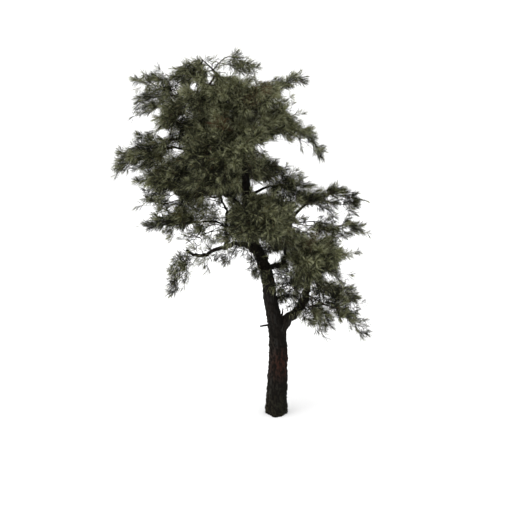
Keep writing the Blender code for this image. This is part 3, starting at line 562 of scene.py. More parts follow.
def bark_material(name, bark, grain, with_painted_shade_and_patches):
    """Plated bark: dark cracks, plates in several browns, and fine grain; on the trunk also painted shade on
    the side away from the light, rust and moss. It reads the relief attribute, and on the trunk the facing
    attribute.
    """
    n = Nodes(name, *BARK_FINISH)
    place = n.add("ShaderNodeTexCoord").outputs["Object"]
    stretched = n.add("ShaderNodeMapping", {"Vector": place, "Scale": (1.0, 1.0, 0.22)})
    tone = n.noise(stretched.outputs["Vector"], 14.0, 3.0)
    fleck = n.noise(stretched.outputs["Vector"], grain, 5.0, 0.65)
    rgb = n.blend(n.ramp(tone, 0.38, 0.64), bark.plate_colour, bark.weathered_colour)
    if with_painted_shade_and_patches:
        # Painted shade: bark that faces +X, away from the light, is darkened, and bark that faces -X is
        # lightened a little.
        rgb = n.scaled(rgb, n.ramp(n.attribute("facing"), -0.75, 0.85, 1.15, 0.30))
        # Freshly flaked bark glows red-brown low on the right of the open side.
        near = n.add("ShaderNodeVectorMath", {0: place, 1: FRESH_BARK}, operation="DISTANCE")
        rust = n.times(n.ramp(near.outputs["Value"], 0.42, 0.10), tone)
        rgb = n.blend(rust, rgb, bark.rust_colour)
        # Moss keeps to the foot.
        height = n.add("ShaderNodeSeparateXYZ", {"Vector": place}).outputs["Z"]
        moss = n.times(n.ramp(height, 0.75, 0.05, 0.0, 0.75), fleck)
        rgb = n.blend(moss, rgb, bark.moss_colour)
    rgb = n.blend(n.ramp(n.attribute("relief"), 0.15, 0.6), bark.crack_colour, rgb)
    n.feed(n.shader, "Base Color", n.scaled(rgb, n.ramp(fleck, 0.3, 0.7, 0.6, 1.25)))
    bump = n.add("ShaderNodeBump", {"Height": fleck, "Strength": 0.7, "Distance": 0.004})
    n.feed(n.shader, "Normal", bump.outputs["Normal"])
    return n.material


# ---------------------------------------------------------------- limbs

KINKS = 4  # between two named points of a limb
COLLAR = 0.35  # how much thicker a limb is where it leaves
COLLARS = {"bough_left_low": 1.1}
SLENDER = 0.03  # a bough no thicker than this is drawn with fewer faces
FLAKE_DEPTH, LUMP_DEPTH = 2.7, 1.2  # beside the depth of the cracks


def trunk_radius(height):
    """The trunk's radius at a height: an even taper, less the share that the lowest bough takes."""
    taper = BUTT_RADIUS * max(0.0, 1 - height / TAPER_HEIGHT) ** TAPER_POWER
    past = min(1.0, max(0.0, (height - FORK_LOW) / (FORK_HIGH - FORK_LOW)))
    return taper * (1 - (1 - ABOVE_FORK) * past)


def tapering(line, thick, thin):
    """Radii that taper evenly along a line from thick to thin."""
    places = np.array(line)
    run = np.concatenate(([0.0], np.cumsum(np.linalg.norm(np.diff(places, axis=0), axis=1))))
    return list(thick + (thin - thick) * run / run[-1])


def smooth_line(line, steps=12):
    """Points along the smooth curve through a line, close enough together to measure from."""
    points = [Vector(p) for p in line]
    padded = [points[0] * 2 - points[1], *points, points[-1] * 2 - points[-2]]
    out = []
    for a, b, c, d in zip(padded, padded[1:], padded[2:], padded[3:]):
        for step in range(steps):
            t = step / steps
            out.append(0.5 * (b * 2 + (c - a) * t + (a * 2 - b * 5 + c * 4 - d) * t * t
                              + (b * 3 - a - c * 3 + d) * t ** 3))
    out.append(points[-1])
    return np.array([tuple(p) for p in out])


def gnarled(name, line, thick, thin):
    """A limb's line with the small kinks of real wood, and its radii, swollen where it leaves its bearer."""
    rng = np.random.default_rng(zlib.crc32(name.encode()))
    fine = smooth_line(line, KINKS)
    kinks = rng.normal(0, 0.15 * thick, fine.shape)
    kinks[0] = kinks[-1] = 0.0
    radii = np.array(tapering(fine, thick, thin)) * rng.uniform(0.92, 1.10, len(fine))
    run = np.linalg.norm(fine - fine[0], axis=1)
    radii *= 1 + COLLARS.get(name, COLLAR) * np.exp(-run / (3 * thick))
    return fine + kinks, radii


def draw_limb(name, line, radii, sides, steps):
    """A round limb: a curve drawn through its points, thickened, and turned into a closed mesh."""
    bpy.ops.object.select_all(action="DESELECT")
    bpy.ops.curve.primitive_bezier_curve_add(location=(0, 0, 0))
    limb = bpy.context.object
    limb.name = name
    curve = limb.data
    curve.dimensions = "3D"
    curve.bevel_depth = 1.0
    curve.bevel_resolution = sides // 2 - 2
    curve.resolution_u = steps
    curve.use_fill_caps = True
    spline = curve.splines[0]
    spline.bezier_points.add(len(line) - len(spline.bezier_points))
    for point, place, radius in zip(spline.bezier_points, line, radii):
        point.co = place
        point.radius = radius
        point.handle_left_type = point.handle_right_type = "AUTO"
    bpy.ops.object.convert(target="MESH")
    bpy.ops.object.mode_set(mode="EDIT")
    bpy.ops.mesh.select_all(action="SELECT")
    bpy.ops.mesh.remove_doubles(threshold=1e-5)
    bpy.ops.mesh.normals_make_consistent(inside=False)
    bpy.ops.object.mode_set(mode="OBJECT")
    return bpy.context.object


def vertex_places(mesh):
    """The mesh's vertices as an array."""
    places = np.empty(len(mesh.vertices) * 3)
    mesh.vertices.foreach_get("co", places)
    return places.reshape(-1, 3)


def press_relief(limb, weights, texture, strength, cell):
    """Presses a texture into a limb's surface, with cells of the given size, and applies it."""
    group = limb.vertex_groups.new(name="thickness")
    for index, weight in enumerate(weights):
        group.add([index], float(weight), "REPLACE")
    bpy.ops.object.empty_add(location=(0.013, 0.021, 0.0))
    guide = bpy.context.object
    guide.scale = cell
    bpy.ops.object.select_all(action="DESELECT")
    bpy.context.view_layer.objects.active = limb
    limb.select_set(True)
    press = limb.modifiers.new("relief", "DISPLACE")
    press.texture = texture
    press.texture_coords = "OBJECT"
    press.texture_coords_object = guide
    press.strength = strength
    press.mid_level = 0.55
    press.vertex_group = group.name
    bpy.ops.object.modifier_apply(modifier=press.name)
    bpy.data.objects.remove(guide)
    limb.vertex_groups.clear()


def plate_texture():
    """Bark plates: flat tops that drop steeply into the cracks between them."""
    texture = bpy.data.textures.new("bark_plates", "VORONOI")
    texture.noise_scale = 1.0
    texture.weight_1, texture.weight_2 = -1.0, 1.0
    texture.use_color_ramp = True
    ramp = texture.color_ramp.elements
    ramp[0].position, ramp[0].color = 0.02, (0, 0, 0, 1)
    ramp[1].position, ramp[1].color = 0.50, (1, 1, 1, 1)
    shoulder = texture.color_ramp.elements.new(0.16)
    shoulder.color = (0.78, 0.78, 0.78, 1)
    return texture


def grain_texture():
    """Rough flakes and knots, over the plates."""
    texture = bpy.data.textures.new("bark_flakes", "CLOUDS")
    texture.noise_scale = 1.0
    texture.noise_depth = 3
    return texture


def plate_bark(limb, thickness, bark, depth):
    """Gives a limb its bark: flakes, then plates, and a record of how deep each point lies."""
    weights = np.clip(thickness / BUTT_RADIUS, 0.10, 1.0)
    size = np.clip(float(thickness.max()) / BUTT_RADIUS, 0.30, 1.0)
    normals = np.empty(len(limb.data.vertices) * 3)
    limb.data.vertices.foreach_get("normal", normals)
    normals = normals.reshape(-1, 3)
    flakes = (0.050 * size, 0.050 * size, 0.055 * size)
    press_relief(limb, weights, grain_texture(), depth * FLAKE_DEPTH, flakes)
    lumps = (0.16, 0.16, 0.30)
    press_relief(limb, weights, grain_texture(), depth * LUMP_DEPTH, lumps)
    before = vertex_places(limb.data)
    plates = (bark.plate_width * size, bark.plate_width * size, bark.plate_height * size)
    press_relief(limb, weights, plate_texture(), depth, plates)
    # How far each point faces towards +X, kept for the trunk's painted shade on the side away from the
    # light.
    facing = limb.data.attributes.new("facing", "FLOAT", "POINT")
    facing.data.foreach_set("value", normals[:, 0])
    raised = ((vertex_places(limb.data) - before) * normals).sum(1) / (depth * weights)
    relief = limb.data.attributes.new("relief", "FLOAT", "POINT")
    relief.data.foreach_set("value", np.clip(raised + 0.55, 0.0, 1.0))


def hand_over(piece, nodes):
    """Attaches a piece to the body it rides on, and hides the solid model's parts that it stands for."""
    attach(piece, BODY)
    if nodes:
        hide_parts(*nodes)


def finish_piece(piece, nodes, material):
    """Shades a piece and gives it its material, and hands it over."""
    piece.data.materials.clear()
    piece.data.materials.append(material)
    piece.data.shade_smooth()
    hand_over(piece, nodes)


# ---------------------------------------------------------------- foliage


TRUNK_SPURS = 16  # the steps of the trunk's line that spurs may stand on
LOWEST_SPUR = 2.2


class Mass:
    """One mass of foliage: the space it may fill, and the framework of twigs that fills it."""

    STEP = 0.06  # between two points of the framework
    ROOM = 0.066  # between the tips of two shoots
    SHELL = 1.28  # the surface, in squares of a shoot's spacing, that one shoot covers
    SPRAY = np.array((0.34, 0.34, 0.16))  # the size of the sprays that the shoots gather in
    LOBE = 0.24  # the size of the lobes that stand out of the surface
    ABOVE_BOX = 0.10  # how far a shoot's tip may stand above the solid model
    LOOKING = Vector((0.13, 0.21, 0.97)).normalized()

    def __init__(self, name, limb, line, tip, spacing):
        self.name = name
        self.rng = np.random.default_rng(zlib.crc32(name.encode()))
        mesh = frame["nodes"][name].data
        mesh.calc_loop_triangles()
        corners = np.array([triangle.vertices for triangle in mesh.loop_triangles])
        places = vertex_places(mesh)
        self.surface = BVHTree.FromPolygons(places.tolist(), corners.tolist())
        self.low, self.high = (np.array(corner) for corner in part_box(name))
        self.heart = places.mean(0)
        self.points, self.parent, self.runs = [], [], []
        self.count = self.shoot_count(*(places[corners[:, i]] for i in range(3)), spacing)
        self.start_on(line, limb == "trunk", np.array(tip))
        self.tips = self.scatter(self.count)
        self.tips = np.vstack((self.tips, self.fingers()))
        low, high = np.array(CAD_BOX) + ((0, 0, 0), (0, 0, self.ABOVE_BOX))
        self.tips = self.tips[((self.tips > low) & (self.tips < high)).all(1)]
        self.grow()

    def shoot_count(self, a, b, c, spacing):
        """How many shoots the mass takes: half of them by its volume, and half by its surface."""
        volume = (a * np.cross(b, c)).sum() / 6
        area = np.linalg.norm(np.cross(b - a, c - a), axis=1).sum() / 2
        return int(0.5 * volume / spacing ** 3 + 0.5 * area / (self.SHELL * spacing ** 2)) + 6

    def depth(self, place):
        """How far inside the surface a place is. It is negative outside."""
        distance = self.surface.find_nearest(Vector(place))[3]
        _, normal, _, _ = self.surface.ray_cast(Vector(place), self.LOOKING)
        inside = normal is not None and normal.dot(self.LOOKING) > 0
        return distance if inside else -distance

    def start_on(self, line, on_trunk, tip):
        """Runs the main stem from the nearest point of the limb towards the tip, with spurs and sprigs."""
        reach = np.linalg.norm(line - (self.heart * 0.6 + line[-1] * 0.4), axis=1)
        first = int(np.argmin(reach + 0.5 * np.linalg.norm(line - self.heart, axis=1)))
        first = LEAVES.get(self.name, first)
        start = line[first]
        end = tip + (self.heart - tip) * 0.08
        self.way = (end - start) / np.linalg.norm(end - start)
        self.stem(start, self.heart * 1.5 - (start + end) * 0.25, end, 0.012)
        self.add_spurs(line[:first + 1], TRUNK_SPURS if on_trunk else first)
        first_sprig = len(self.runs)
        for base, end in SPRIGS.get(self.name, ()):
            self.add_sprig(np.array(base), np.array(end))
        self.sprigs = range(first_sprig, len(self.runs))

    def add_spurs(self, line, back):
        """Short stems on the limb, behind the place where the main stem leaves it."""
        for _ in range(3 + self.count // 45):
            base = line[-1 - int(self.rng.random() * back * 0.9)]
            if base[2] < LOWEST_SPUR:
                continue
            out = self.rng.normal(size=3) + self.way * 0.5 + UP * 0.35
            out /= np.linalg.norm(out)
            length = self.rng.uniform(0.12, 0.34)
            self.stem(base, base + out * length * 0.5 - UP * 0.03, base + out * length, 0.006)

    def add_sprig(self, base, end):
        """A small spray of its own, with three side shoots."""
        self.stem(base, (base + end) * 0.5 - UP * 0.01, end, 0.004)
        for _ in range(3):
            out = self.rng.normal(0, 0.06, 3) + (end - base) * 0.25
            root = base + (end - base) * self.rng.uniform(0.3, 0.8)
            self.stem(root, root + out * 0.5, root + out, 0.003)

    def stem(self, start, middle, end, sway):
        """One twig that bends from its start, by its middle, to its end."""
        steps = max(3, int(np.linalg.norm(end - start) / self.STEP))
        wander = self.rng.normal(0, sway, (steps + 1, 3)).cumsum(0)
        wander -= np.linspace(0, 1, steps + 1)[:, None] * wander[-1]
        run = []
        for step in range(steps + 1):
            t = step / steps
            place = start * (1 - t) ** 2 + middle * 2 * t * (1 - t) + end * t * t + wander[step]
            run.append(self.add(place, run[-1] if run else -1))
        self.runs.append(run)

    def add(self, place, parent):
        """A new point of the framework, and its number."""
        self.points.append(place)
        self.parent.append(parent)
        return len(self.points) - 1

    def scatter(self, count):
        """Places for the shoots' tips: in level sprays with gaps between them, closer near the surface."""
        margin, lobes = INNER_EDGE if self.name in INNER else OUTER_EDGE
        chosen = np.empty((0, 3))
        for _ in range(40 * count):
            place = self.rng.uniform(self.low - lobes / 3, self.high + lobes / 3)
            depth = self.depth(place)
            lobe = noise.noise(Vector(place / self.LOBE))
            if depth < margin - lobes * lobe:
                continue
            if self.rng.random() > np.exp(-max(0.0, depth - 0.14) * 4.0):
                continue
            if in_gap(place[None], self.rng.normal(0.0, 0.25))[0]:
                continue
            gather = noise.noise(Vector(place / self.SPRAY))
            if gather < self.rng.uniform(-0.30, 0.10):
                continue
            apart = self.ROOM * (1 + spot_value(place[None], THINNER)[0])
            if len(chosen) and np.min(((chosen - place) ** 2).sum(1)) < apart ** 2:
                continue
            chosen = np.vstack((chosen, place))
            if len(chosen) == count:
                break
        return chosen

    def fingers(self):
        """Places for the tips of long sprays that stand out of the mass, each with side shoots."""
        near = [place for place in self.tips if self.depth(place) < 0.10] or [self.heart + self.way * 0.1]
        reach = 0.26 if self.name in INNER else 0.12
        places = []
        for _ in range(3 + len(self.tips) // 28):
            base = near[self.rng.integers(len(near))]
            out = (base - self.heart) * (1, 1, 0.6)
            out = out / np.linalg.norm(out) + self.way * 0.4 + self.rng.normal(0, 0.25, 3)
            out *= reach * self.rng.uniform(0.7, 1.2) / np.linalg.norm(out)
            for share in (0.35, 0.6, 0.8, 1.0):
                place = base + out * share + self.rng.normal(0, 0.05 * (1 - share), 3)
                if in_gap(place[None], 0.2)[0]:
                    break
                places.append(place)
        return np.array(places or near[:1])

    def grow(self):
        """Joins each tip to the framework, nearest first, by a twig that leaves in the way of growth."""
        root = self.points[0]
        order = np.argsort(np.linalg.norm(self.tips - root, axis=1))
        size = 64 + len(self.points) + len(self.tips) * 30
        places = np.zeros((size, 3))
        flows = np.zeros((size, 3))
        filled = len(self.points)
        for number in range(filled):
            places[number] = self.points[number]
            parent = self.parent[number]
            if parent >= 0:
                towards = self.points[number] - self.points[parent]
                flows[number] = towards / (np.linalg.norm(towards) + 1e-9)
        flows[0] = flows[1]
        for tip in self.tips[order]:
            arms = tip - places[:filled]
            lengths = np.linalg.norm(arms, axis=1) + 1e-9
            along = (arms * flows[:filled]).sum(1) / lengths
            cost = lengths * (1 + 0.9 * (1 - along))
            bearer = int(np.argmin(cost))
            length = lengths[bearer]
            bend = places[bearer] + flows[bearer] * length * 0.38 - UP * length * 0.10
            steps = max(2, int(round(length / self.STEP)))
            run = [bearer]
            for step in range(1, steps + 1):
                t = step / steps
                place = places[bearer] * (1 - t) ** 2 + bend * 2 * t * (1 - t) + tip * t * t
                index = self.add(place, run[-1])
                places[index] = place
                towards = place - places[run[-1]]
                flows[index] = towards / (np.linalg.norm(towards) + 1e-9)
                run.append(index)
            filled = len(self.points)
            self.runs.append(run)

    def thicknesses(self, thinnest, growth, thickest):
        """The radius at each point: the more tips it bears, the thicker it is."""
        bears = np.zeros(len(self.points))
        for run in self.runs:
            bears[run[-1]] += 1
        for index in range(len(self.points) - 1, 0, -1):
            if self.parent[index] >= 0:
                bears[self.parent[index]] += bears[index]
        return np.minimum(thinnest + growth * np.sqrt(np.maximum(bears, 1.0)), thickest)


def unit(ways):
    """The same ways, each one long."""
    return ways / (np.linalg.norm(ways, axis=-1)[..., None] + 1e-9)


def tube(places, radii, sides):
    """The corners and faces of a thin tube along some points."""
    places = np.asarray(places)
    ways = unit(np.gradient(places, axis=0))
    helper = np.array((0.31, 0.11, 0.94)) if abs(ways[0][2]) < 0.8 else np.array((0.9, 0.4, 0.1))
    across = unit(np.cross(ways, helper))
    above = np.cross(ways, across)
    turns = np.arange(sides) * 2 * math.pi / sides
    rings = (across[:, None] * np.cos(turns)[None, :, None] + above[:, None] * np.sin(turns)[None, :, None])
    corners = (places[:, None] + rings * np.asarray(radii)[:, None, None]).reshape(-1, 3)
    ring = np.arange(len(places) - 1)[:, None] * sides
    here = ring + np.arange(sides)[None]
    there = ring + (np.arange(sides)[None] + 1) % sides
    faces = np.stack((here, there, there + sides, here + sides), -1).reshape(-1, 4)
    return corners, faces


def trunk_heart(heights):
    """The trunk's heart at each height."""
    line = np.array(TRUNK_LINE)
    return np.stack([np.interp(heights, line[:, 2], line[:, axis]) for axis in (0, 1)] + [heights], 1)


def shoot_axes(mass, tip, back):
    """The way each shoot points, and two ways square to it."""
    rng = mass.rng
    outward = unit(tip - mass.heart)
    flow = unit((tip - trunk_heart(tip[:, 2])) * (1.0, 0.45, 1.0))
    axis = unit(tip - back) * 0.42 + outward * 0.20 + flow * 0.55 - UP * 0.04
    axis = unit(axis + rng.normal(0, 0.13, axis.shape))
    side = unit(np.cross(axis, rng.normal(size=axis.shape)))
    return axis, side, np.cross(axis, side)


def needle_tones(mass, tip, back_share, shape):
    """The tone of each needle, painted light and shade mixed with random tone: by how its shoot is lit and
    how far back on the shoot it stands.
    """
    rng, shoots = mass.rng, len(tip)
    # Painted light and shade: shoots deep in their mass, on the sprigs and in the dark spots take darker
    # tones, and shoots high in their mass, near the crown's top, at an opening's edge and in the light spots
    # lighter ones; needles near a shoot's tip are lighter too.
    depths = np.array([mass.depth(place) for place in tip])
    depths[in_gap(tip, 0.4) & (rng.random(shoots) < 0.6)] = 0
    height = (tip[:, 2] - mass.low[2]) / (mass.high[2] - mass.low[2])
    patch = np.array([noise.noise(Vector(place / PATCH)) for place in tip])
    light = rng.random(shoots) * LIT_BY_CHANCE + LIT_BY_HEIGHT * height + LIT_BY_PATCH * patch
    light -= SHADED_BY_DEPTH * np.clip(depths - 0.08, 0, 0.25)
    light += LIGHT + LIT_AT_TOP * np.clip((tip[:, 2] - 5.0) / 0.8, 0, 1)
    light[mass.sprigs] -= SPRIG_SHADE
    light -= spot_value(tip, DARKER)
    light = light[:, None, None] + LIT_AT_TIP * (0.45 - back_share[..., None])
    light = light + rng.normal(0, 0.55, back_share.shape)[..., None]
    tones = np.clip(np.digitize(light * np.ones(shape), TONE_STEPS), 0, LIGHTEST)
    tones[rng.random(shoots) < FADED_SHARE] = YELLOW
    tones[rng.random(shape) < FADED_SHARE] = DRY
    flat = as_seen(tip)
    for x, z in DRY_SPOTS:
        near = np.hypot(flat[:, 0] - x, flat[:, 2] - z) < 0.13
        tones[near[:, None, None] & (rng.random(shape) < 0.35)] = DRY
    return tones


def shoot_needles(mass, settings):
    """Every needle of a mass as base, way, length, tone, way out, and whether it may stand in a gap."""
    rng, pairs, shoots = mass.rng, settings.pairs, len(mass.runs)
    points = np.array(mass.points)
    tip = points[[run[-1] for run in mass.runs]]
    back = points[[run[-2] for run in mass.runs]]
    further = points[[mass.parent[run[-2]] if mass.parent[run[-2]] >= 0 else run[-2] for run in mass.runs]]
    axis, side, above = shoot_axes(mass, tip, back)

    back_share = rng.random((shoots, pairs))  # 0 at the tip, 1 at the old end
    old = back_share[..., None]
    base = np.where(old < 0.6, tip[:, None] * (1 - old / 0.6) + back[:, None] * old / 0.6,
                    back[:, None] * (1.6 - old) + further[:, None] * (old - 0.6))
    lean = np.radians(LEAN_AT_TIP + MORE_WHEN_OLD * back_share ** 0.8 + rng.normal(0, 9, back_share.shape))
    turn = rng.random((shoots, pairs)) * 2 * math.pi
    out = side[:, None] * np.cos(turn)[..., None] + above[:, None] * np.sin(turn)[..., None]
    way = axis[:, None] * np.cos(lean)[..., None] + out * np.sin(lean)[..., None]
    splay = np.cross(way, out) * SPLAY
    ways = unit(np.stack((way + splay, way - splay), 2))
    vigour = rng.uniform(0.80, 1.12, (shoots, 1, 1))
    lengths = settings.needle_length * vigour * rng.uniform(0.80, 1.08, ways.shape[:-1])
    lengths = lengths * (1 - YOUNG_SHORTER * (back_share[..., None] < 0.12))

    shape = lengths.shape
    tones = needle_tones(mass, tip, back_share, shape)
    bases = np.broadcast_to(base[:, :, None], (*shape, 3)).reshape(-1, 3)
    outs = np.broadcast_to(out[:, :, None], (*shape, 3)).reshape(-1, 3)
    free = np.isin(np.arange(shoots), mass.sprigs).repeat(2 * pairs)
    return bases, ways.reshape(-1, 3), lengths.reshape(-1), tones.reshape(-1), outs, free


def needle_kites(bases, ways, lengths, outs, width, rng):
    """The four corners of each needle: a thin kite folded at its middle, where it droops."""
    across = unit(np.cross(ways, outs + rng.normal(0, 0.5, outs.shape)))
    half = across * (width / 2 * rng.uniform(0.85, 1.15, len(lengths)))[:, None]
    middle = bases + ways * (lengths * 0.5)[:, None]
    droop = -UP * (lengths * rng.uniform(0.0, 0.10, len(lengths)))[:, None]
    tips = middle + ways * (lengths * 0.5)[:, None] + droop
    kites = np.stack((bases, middle - half, tips, middle + half), 1)
    normal = np.cross(kites[:, 1] - kites[:, 0], kites[:, 3] - kites[:, 0])
    wrong = (normal * outs).sum(1) < 0
    kites[wrong] = kites[wrong][:, [0, 3, 2, 1]]
    return kites


def join_parts(parts):
    """The corners and faces of several parts as one."""
    starts = np.cumsum([0] + [len(places) for places, _ in parts])
    faces = [sheets + start for (_, sheets), start in zip(parts, starts)]
    return np.concatenate([places for places, _ in parts]), np.concatenate(faces)


def mesh_piece(name, corners, faces, tones=None, materials=()):
    """A mesh object from arrays, with a material for each face."""
    mesh = bpy.data.meshes.new(name)
    mesh.from_pydata(corners, [], faces)
    for material in materials:
        mesh.materials.append(material)
    if tones is not None:
        mesh.polygons.foreach_set("material_index", tones)
    mesh.update()
    piece = bpy.data.objects.new(name, mesh)
    bpy.context.scene.collection.objects.link(piece)
    return piece


def within_box(kites):
    """True for each needle that keeps within the solid model's box, widened by a share of a margin."""
    low, high = (np.array(corner) for corner in CAD_BOX)
    spare = (0.03 * (high - low) + 0.01) * BOX_SHARE
    return ((kites > low - spare) & (kites < high + spare)).all((1, 2))


def as_seen(places):
    """Where each place shows, from the eye, in the plane of the trunk."""
    share = EYE[1] / (EYE[1] - places[..., 1])
    return EYE + (places - EYE) * share[..., None]


def in_gap(places, spare):
    """True for each place that lies in an opening, widened by a share."""
    flat = as_seen(places)
    x, z = flat[:, :1], flat[:, 2:]
    waves = 1 + 0.28 * np.sin(19 * x + 9 * z) + 0.22 * np.sin(27 * z - 13 * x)
    edge = np.maximum(0, 1 + spare) ** 2 * waves[:, 0]
    hit = np.zeros(len(places), bool)
    for gaps, furthest in ((SKY_GAPS, math.inf), (TRUNK_GAPS, 0.0)):
        near = ((x - gaps[:, 0]) / gaps[:, 2]) ** 2 + ((z - gaps[:, 1]) / gaps[:, 3]) ** 2
        hit |= (near.min(1) < edge) & (places[:, 1] < furthest)
    return hit


def spot_value(places, value):
    """How thin, or how dark, the crown is at each place: it fades out of every spot."""
    flat = as_seen(places)
    across = (flat[:, :1] - SPOTS[:, 0]) / SPOTS[:, 2]
    up = (flat[:, 2:] - SPOTS[:, 1]) / SPOTS[:, 3]
    return (SPOTS[:, value] * np.exp(-across ** 2 - up ** 2)).sum(1)


GROWN = {}


def grown(side):
    """The masses on one side of the crown, grown once and kept for the twigs and the needles."""
    if side not in GROWN:
        spacing = bpy.context.scene.pine_foliage.shoot_spacing
        lines = {name: smooth_line(line) for name, (_, _, line) in BOUGHS.items()}
        lines["trunk"] = smooth_line(TRUNK_LINE)
        GROWN[side] = {name: Mass(name, limb, lines[limb], tip, spacing)
                       for name, (limb, tip) in CROWN[side].items()}
    return GROWN[side]


# ---------------------------------------------------------------- operators


class PINE_OT_trunk(bpy.types.Operator):
    """Draws the trunk with its root buttresses and its plated bark"""

    bl_idname = "pine.trunk"
    bl_label = "Trunk"

    def execute(self, context):
        bark = context.scene.pine_bark
        line = [(0.0, 0.0, -BELOW_GROUND), *TRUNK_LINE]
        radii = [trunk_radius(max(0.0, place[2])) for place in line]
        trunk = draw_limb("trunk_bark", line, radii, 90, 34)
        places = vertex_places(trunk.data)
        self.spread_roots(places)
        trunk.data.vertices.foreach_set("co", places.ravel())
        trunk.data.update()
        thickness = np.array([trunk_radius(max(0.0, z)) for z in places[:, 2]])
        plate_bark(trunk, thickness, bark, bark.plate_relief)
        self.cut_foot()
        finish_piece(trunk, ["trunk"], bark_material("trunk_bark", bark, 90.0, True))
        return {"FINISHED"}

    @staticmethod
    def spread_roots(places):
        """Pushes the foot out into its buttress roots."""
        facing = np.degrees(np.arctan2(places[:, 1], places[:, 0]))
        across = np.hypot(places[:, 0], places[:, 1]) + 1e-9
        reach = np.zeros(len(places))
        for turn, root in ROOTS:
            aside = (facing - turn + 180) % 360 - 180
            reach += root * np.exp(-((aside / ROOT_WIDTH) ** 2))
        reach *= np.exp(-np.maximum(0.0, places[:, 2]) / ROOT_HEIGHT)
        places[:, :2] *= (1 + reach / across)[:, None]

    @staticmethod
    def cut_foot():
        """Cuts the trunk off flat at the ground."""
        bpy.ops.object.mode_set(mode="EDIT")
        bpy.ops.mesh.select_all(action="SELECT")
        bpy.ops.mesh.bisect(plane_co=(0, 0, 0), plane_no=(0, 0, -1), use_fill=True, clear_outer=True)
        bpy.ops.object.mode_set(mode="OBJECT")


class PINE_OT_boughs(bpy.types.Operator):
    """Draws the boughs, the right leader and the dead stub, with thinner bark"""

    bl_idname = "pine.boughs"
    bl_label = "Boughs"

    def execute(self, context):
        bark = context.scene.pine_bark
        material = bark_material("bough_bark", bark, 130.0, False)
        for name, (thick, thin, line) in BOUGHS.items():
            line, radii = gnarled(name, line, thick, thin)
            sides, steps = (40, 6) if thick > SLENDER else (16, 3)
            bough = draw_limb(name + "_bark", line, radii, sides, steps)
            places = vertex_places(bough.data)
            nearest = ((places[:, None] - line[None]) ** 2).sum(2).argmin(1)
            plate_bark(bough, radii[nearest], bark, bark.plate_relief * 1.2)
            finish_piece(bough, [name], material)
        return {"FINISHED"}


class PINE_OT_twigs(bpy.types.Operator):
    """Grows the twigs of every mass from its limb"""

    bl_idname = "pine.twigs"
    bl_label = "Twigs"

    def execute(self, context):
        rgb = context.scene.pine_foliage.twig_colour
        material = plain_material("twig_bark", rgb, *BARK_FINISH)
        for side in CROWN:
            parts = []
            for mass in grown(side).values():
                radii = mass.thicknesses(*TWIG_RADII)
                for run in mass.runs:
                    rounds = radii[run].copy()
                    if run is not mass.runs[0]:
                        rounds[0] = min(rounds[0], rounds[1] * 1.15)
                    sides = 6 if rounds.max() > 0.006 else 3
                    parts.append(tube([mass.points[i] for i in run], rounds, sides))
            twigs = mesh_piece("twigs_" + side, *join_parts(parts))
            finish_piece(twigs, list(CROWN[side]), material)
        return {"FINISHED"}


class PINE_OT_bare_twigs(bpy.types.Operator):
    """Draws the bare and dead twigs that stand clear of the needles"""

    bl_idname = "pine.bare_twigs"
    bl_label = "Bare twigs"

    def execute(self, context):
        rgb = context.scene.pine_foliage.twig_colour
        parts = []
        for name, (thick, thin, line) in BARE_TWIGS.items():
            parts.append(tube(*gnarled(name, line, thick, thin), 8))
        twigs = mesh_piece("bare_twigs", *join_parts(parts))
        finish_piece(twigs, [], plain_material("dead_bark", rgb, *BARK_FINISH))
        return {"FINISHED"}


class PINE_OT_needles(bpy.types.Operator):
    """Sets the needles round every shoot, in sprays of several greens"""

    bl_idname = "pine.needles"
    bl_label = "Needles"

    def execute(self, context):
        foliage = context.scene.pine_foliage
        materials = [plain_material("needles_" + tone, getattr(foliage, tone + "_colour"), *NEEDLE_FINISH)
                     for tone in NEEDLE_TONES]
        for side in CROWN:
            parts = [shoot_needles(mass, foliage) for mass in grown(side).values()]
            bases, ways, lengths, tones, outs, free = (np.concatenate(part) for part in zip(*parts))
            rng = np.random.default_rng(zlib.crc32(side.encode()))
            kites = needle_kites(bases, ways, lengths, outs, foliage.needle_width, rng)
            tips, middles = kites[:, 2], (bases + kites[:, 2]) / 2
            rough = rng.normal(*GAP_EDGE, len(bases))
            keep = free | ~(in_gap(tips, rough) | in_gap(middles, rough))
            shoots = keep.reshape(-1, 2 * foliage.pairs).mean(1)
            keep &= np.repeat(shoots > BARE_SHARE, 2 * foliage.pairs) & within_box(kites)
            start = np.arange(keep.sum())[:, None] * 4
            faces = np.concatenate((start + np.array((0, 1, 3)), start + np.array((1, 2, 3))), 1)
            tones = tones[keep]
            # Painted shade: the base half of each needle takes the next darker tone, down to the darkest;
            # yellow and dry needles keep theirs.
            shaded_base_tones = np.where(tones <= LIGHTEST, np.maximum(tones - 1, 0), tones)
            needles = mesh_piece("needles_" + side, kites[keep].reshape(-1, 3), faces.reshape(-1, 3),
                                 np.stack((shaded_base_tones, tones), 1).ravel(), materials)
            hand_over(needles, CROWN[side])
        return {"FINISHED"}


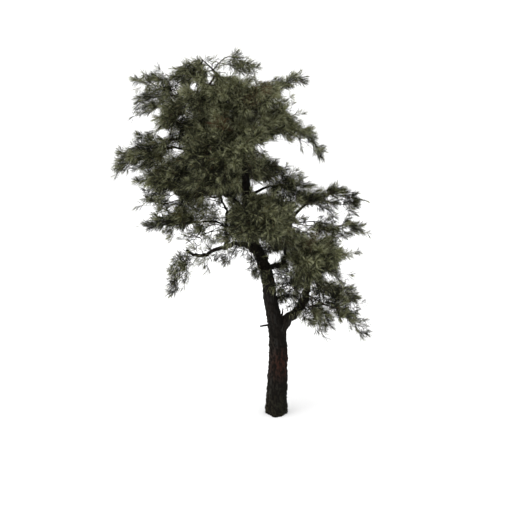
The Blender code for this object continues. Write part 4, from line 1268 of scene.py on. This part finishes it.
class PINE_OT_stage(bpy.types.Operator):
    """Sets the pale floor, the soft light and the camera"""

    bl_idname = "pine.stage"
    bl_label = "Stage"

    def execute(self, context):
        stage = context.scene.pine_stage
        bpy.ops.object.select_all(action="DESELECT")
        bpy.ops.mesh.primitive_circle_add(vertices=96, radius=FLOOR_RADIUS, fill_type="NGON",
                                          location=(0, 0, -0.002))
        floor = context.object
        floor.name = "floor"
        floor.data.materials.append(plain_material("floor", stage.floor_colour, *FLOOR_FINISH))

        world = bpy.data.worlds.new("surround")
        context.scene.world = world
        world.use_nodes = True
        background = world.node_tree.nodes["Background"]
        background.inputs["Color"].default_value = (1, 1, 1, 1)
        background.inputs["Strength"].default_value = stage.sky_strength

        bpy.ops.object.light_add(type="SUN", location=(-7.0, -9.0, 16.0),
                                 rotation=KEY_WAY.to_track_quat("-Z", "Y").to_euler())
        key = context.object
        key.name = "key_light"
        key.data.energy = stage.key_strength
        key.data.angle = KEY_WIDTH

        aim = Vector(stage.aim)
        back = Vector((0, -math.cos(stage.height), math.sin(stage.height)))
        bpy.ops.object.camera_add(location=aim + back * stage.distance,
                                  rotation=(math.pi / 2 - stage.height, 0, 0))
        camera = context.object
        camera.data.lens = stage.lens
        camera.data.sensor_width = 36.0
        camera.data.clip_end = 200.0
        context.scene.camera = camera
        context.scene.view_settings.view_transform = "Standard"
        return {"FINISHED"}


class PINE_PT_panel(bpy.types.Panel):
    """The tree's settings and steps"""

    bl_label = "Pine Tree"
    bl_idname = "PINE_PT_panel"
    bl_space_type = "VIEW_3D"
    bl_region_type = "UI"
    bl_category = "Pine"

    def draw(self, context):
        for title, group in (("Bark", "pine_bark"), ("Foliage", "pine_foliage"), ("Stage", "pine_stage")):
            box = self.layout.box()
            box.label(text=title)
            settings = getattr(context.scene, group)
            for key in settings.__annotations__:
                box.prop(settings, key)
        for step in STEPS:
            self.layout.operator(step.bl_idname)


GROUPS = {"pine_bark": PineBark, "pine_foliage": PineFoliage, "pine_stage": PineStage}
STEPS = (PINE_OT_trunk, PINE_OT_boughs, PINE_OT_bare_twigs, PINE_OT_twigs, PINE_OT_needles,
         PINE_OT_stage)
CLASSES = (*GROUPS.values(), *STEPS, PINE_PT_panel)


def register():
    for cls in CLASSES:
        bpy.utils.register_class(cls)
    for name, group in GROUPS.items():
        setattr(bpy.types.Scene, name, PointerProperty(type=group))


def unregister():
    for name in GROUPS:
        delattr(bpy.types.Scene, name)
    for cls in reversed(CLASSES):
        bpy.utils.unregister_class(cls)


def main():
    register()
    bpy.ops.pine.trunk()
    bpy.ops.pine.boughs()
    bpy.ops.pine.bare_twigs()
    bpy.ops.pine.twigs()
    bpy.ops.pine.needles()
    bpy.ops.pine.stage()


if __name__ == "__main__":
    main()
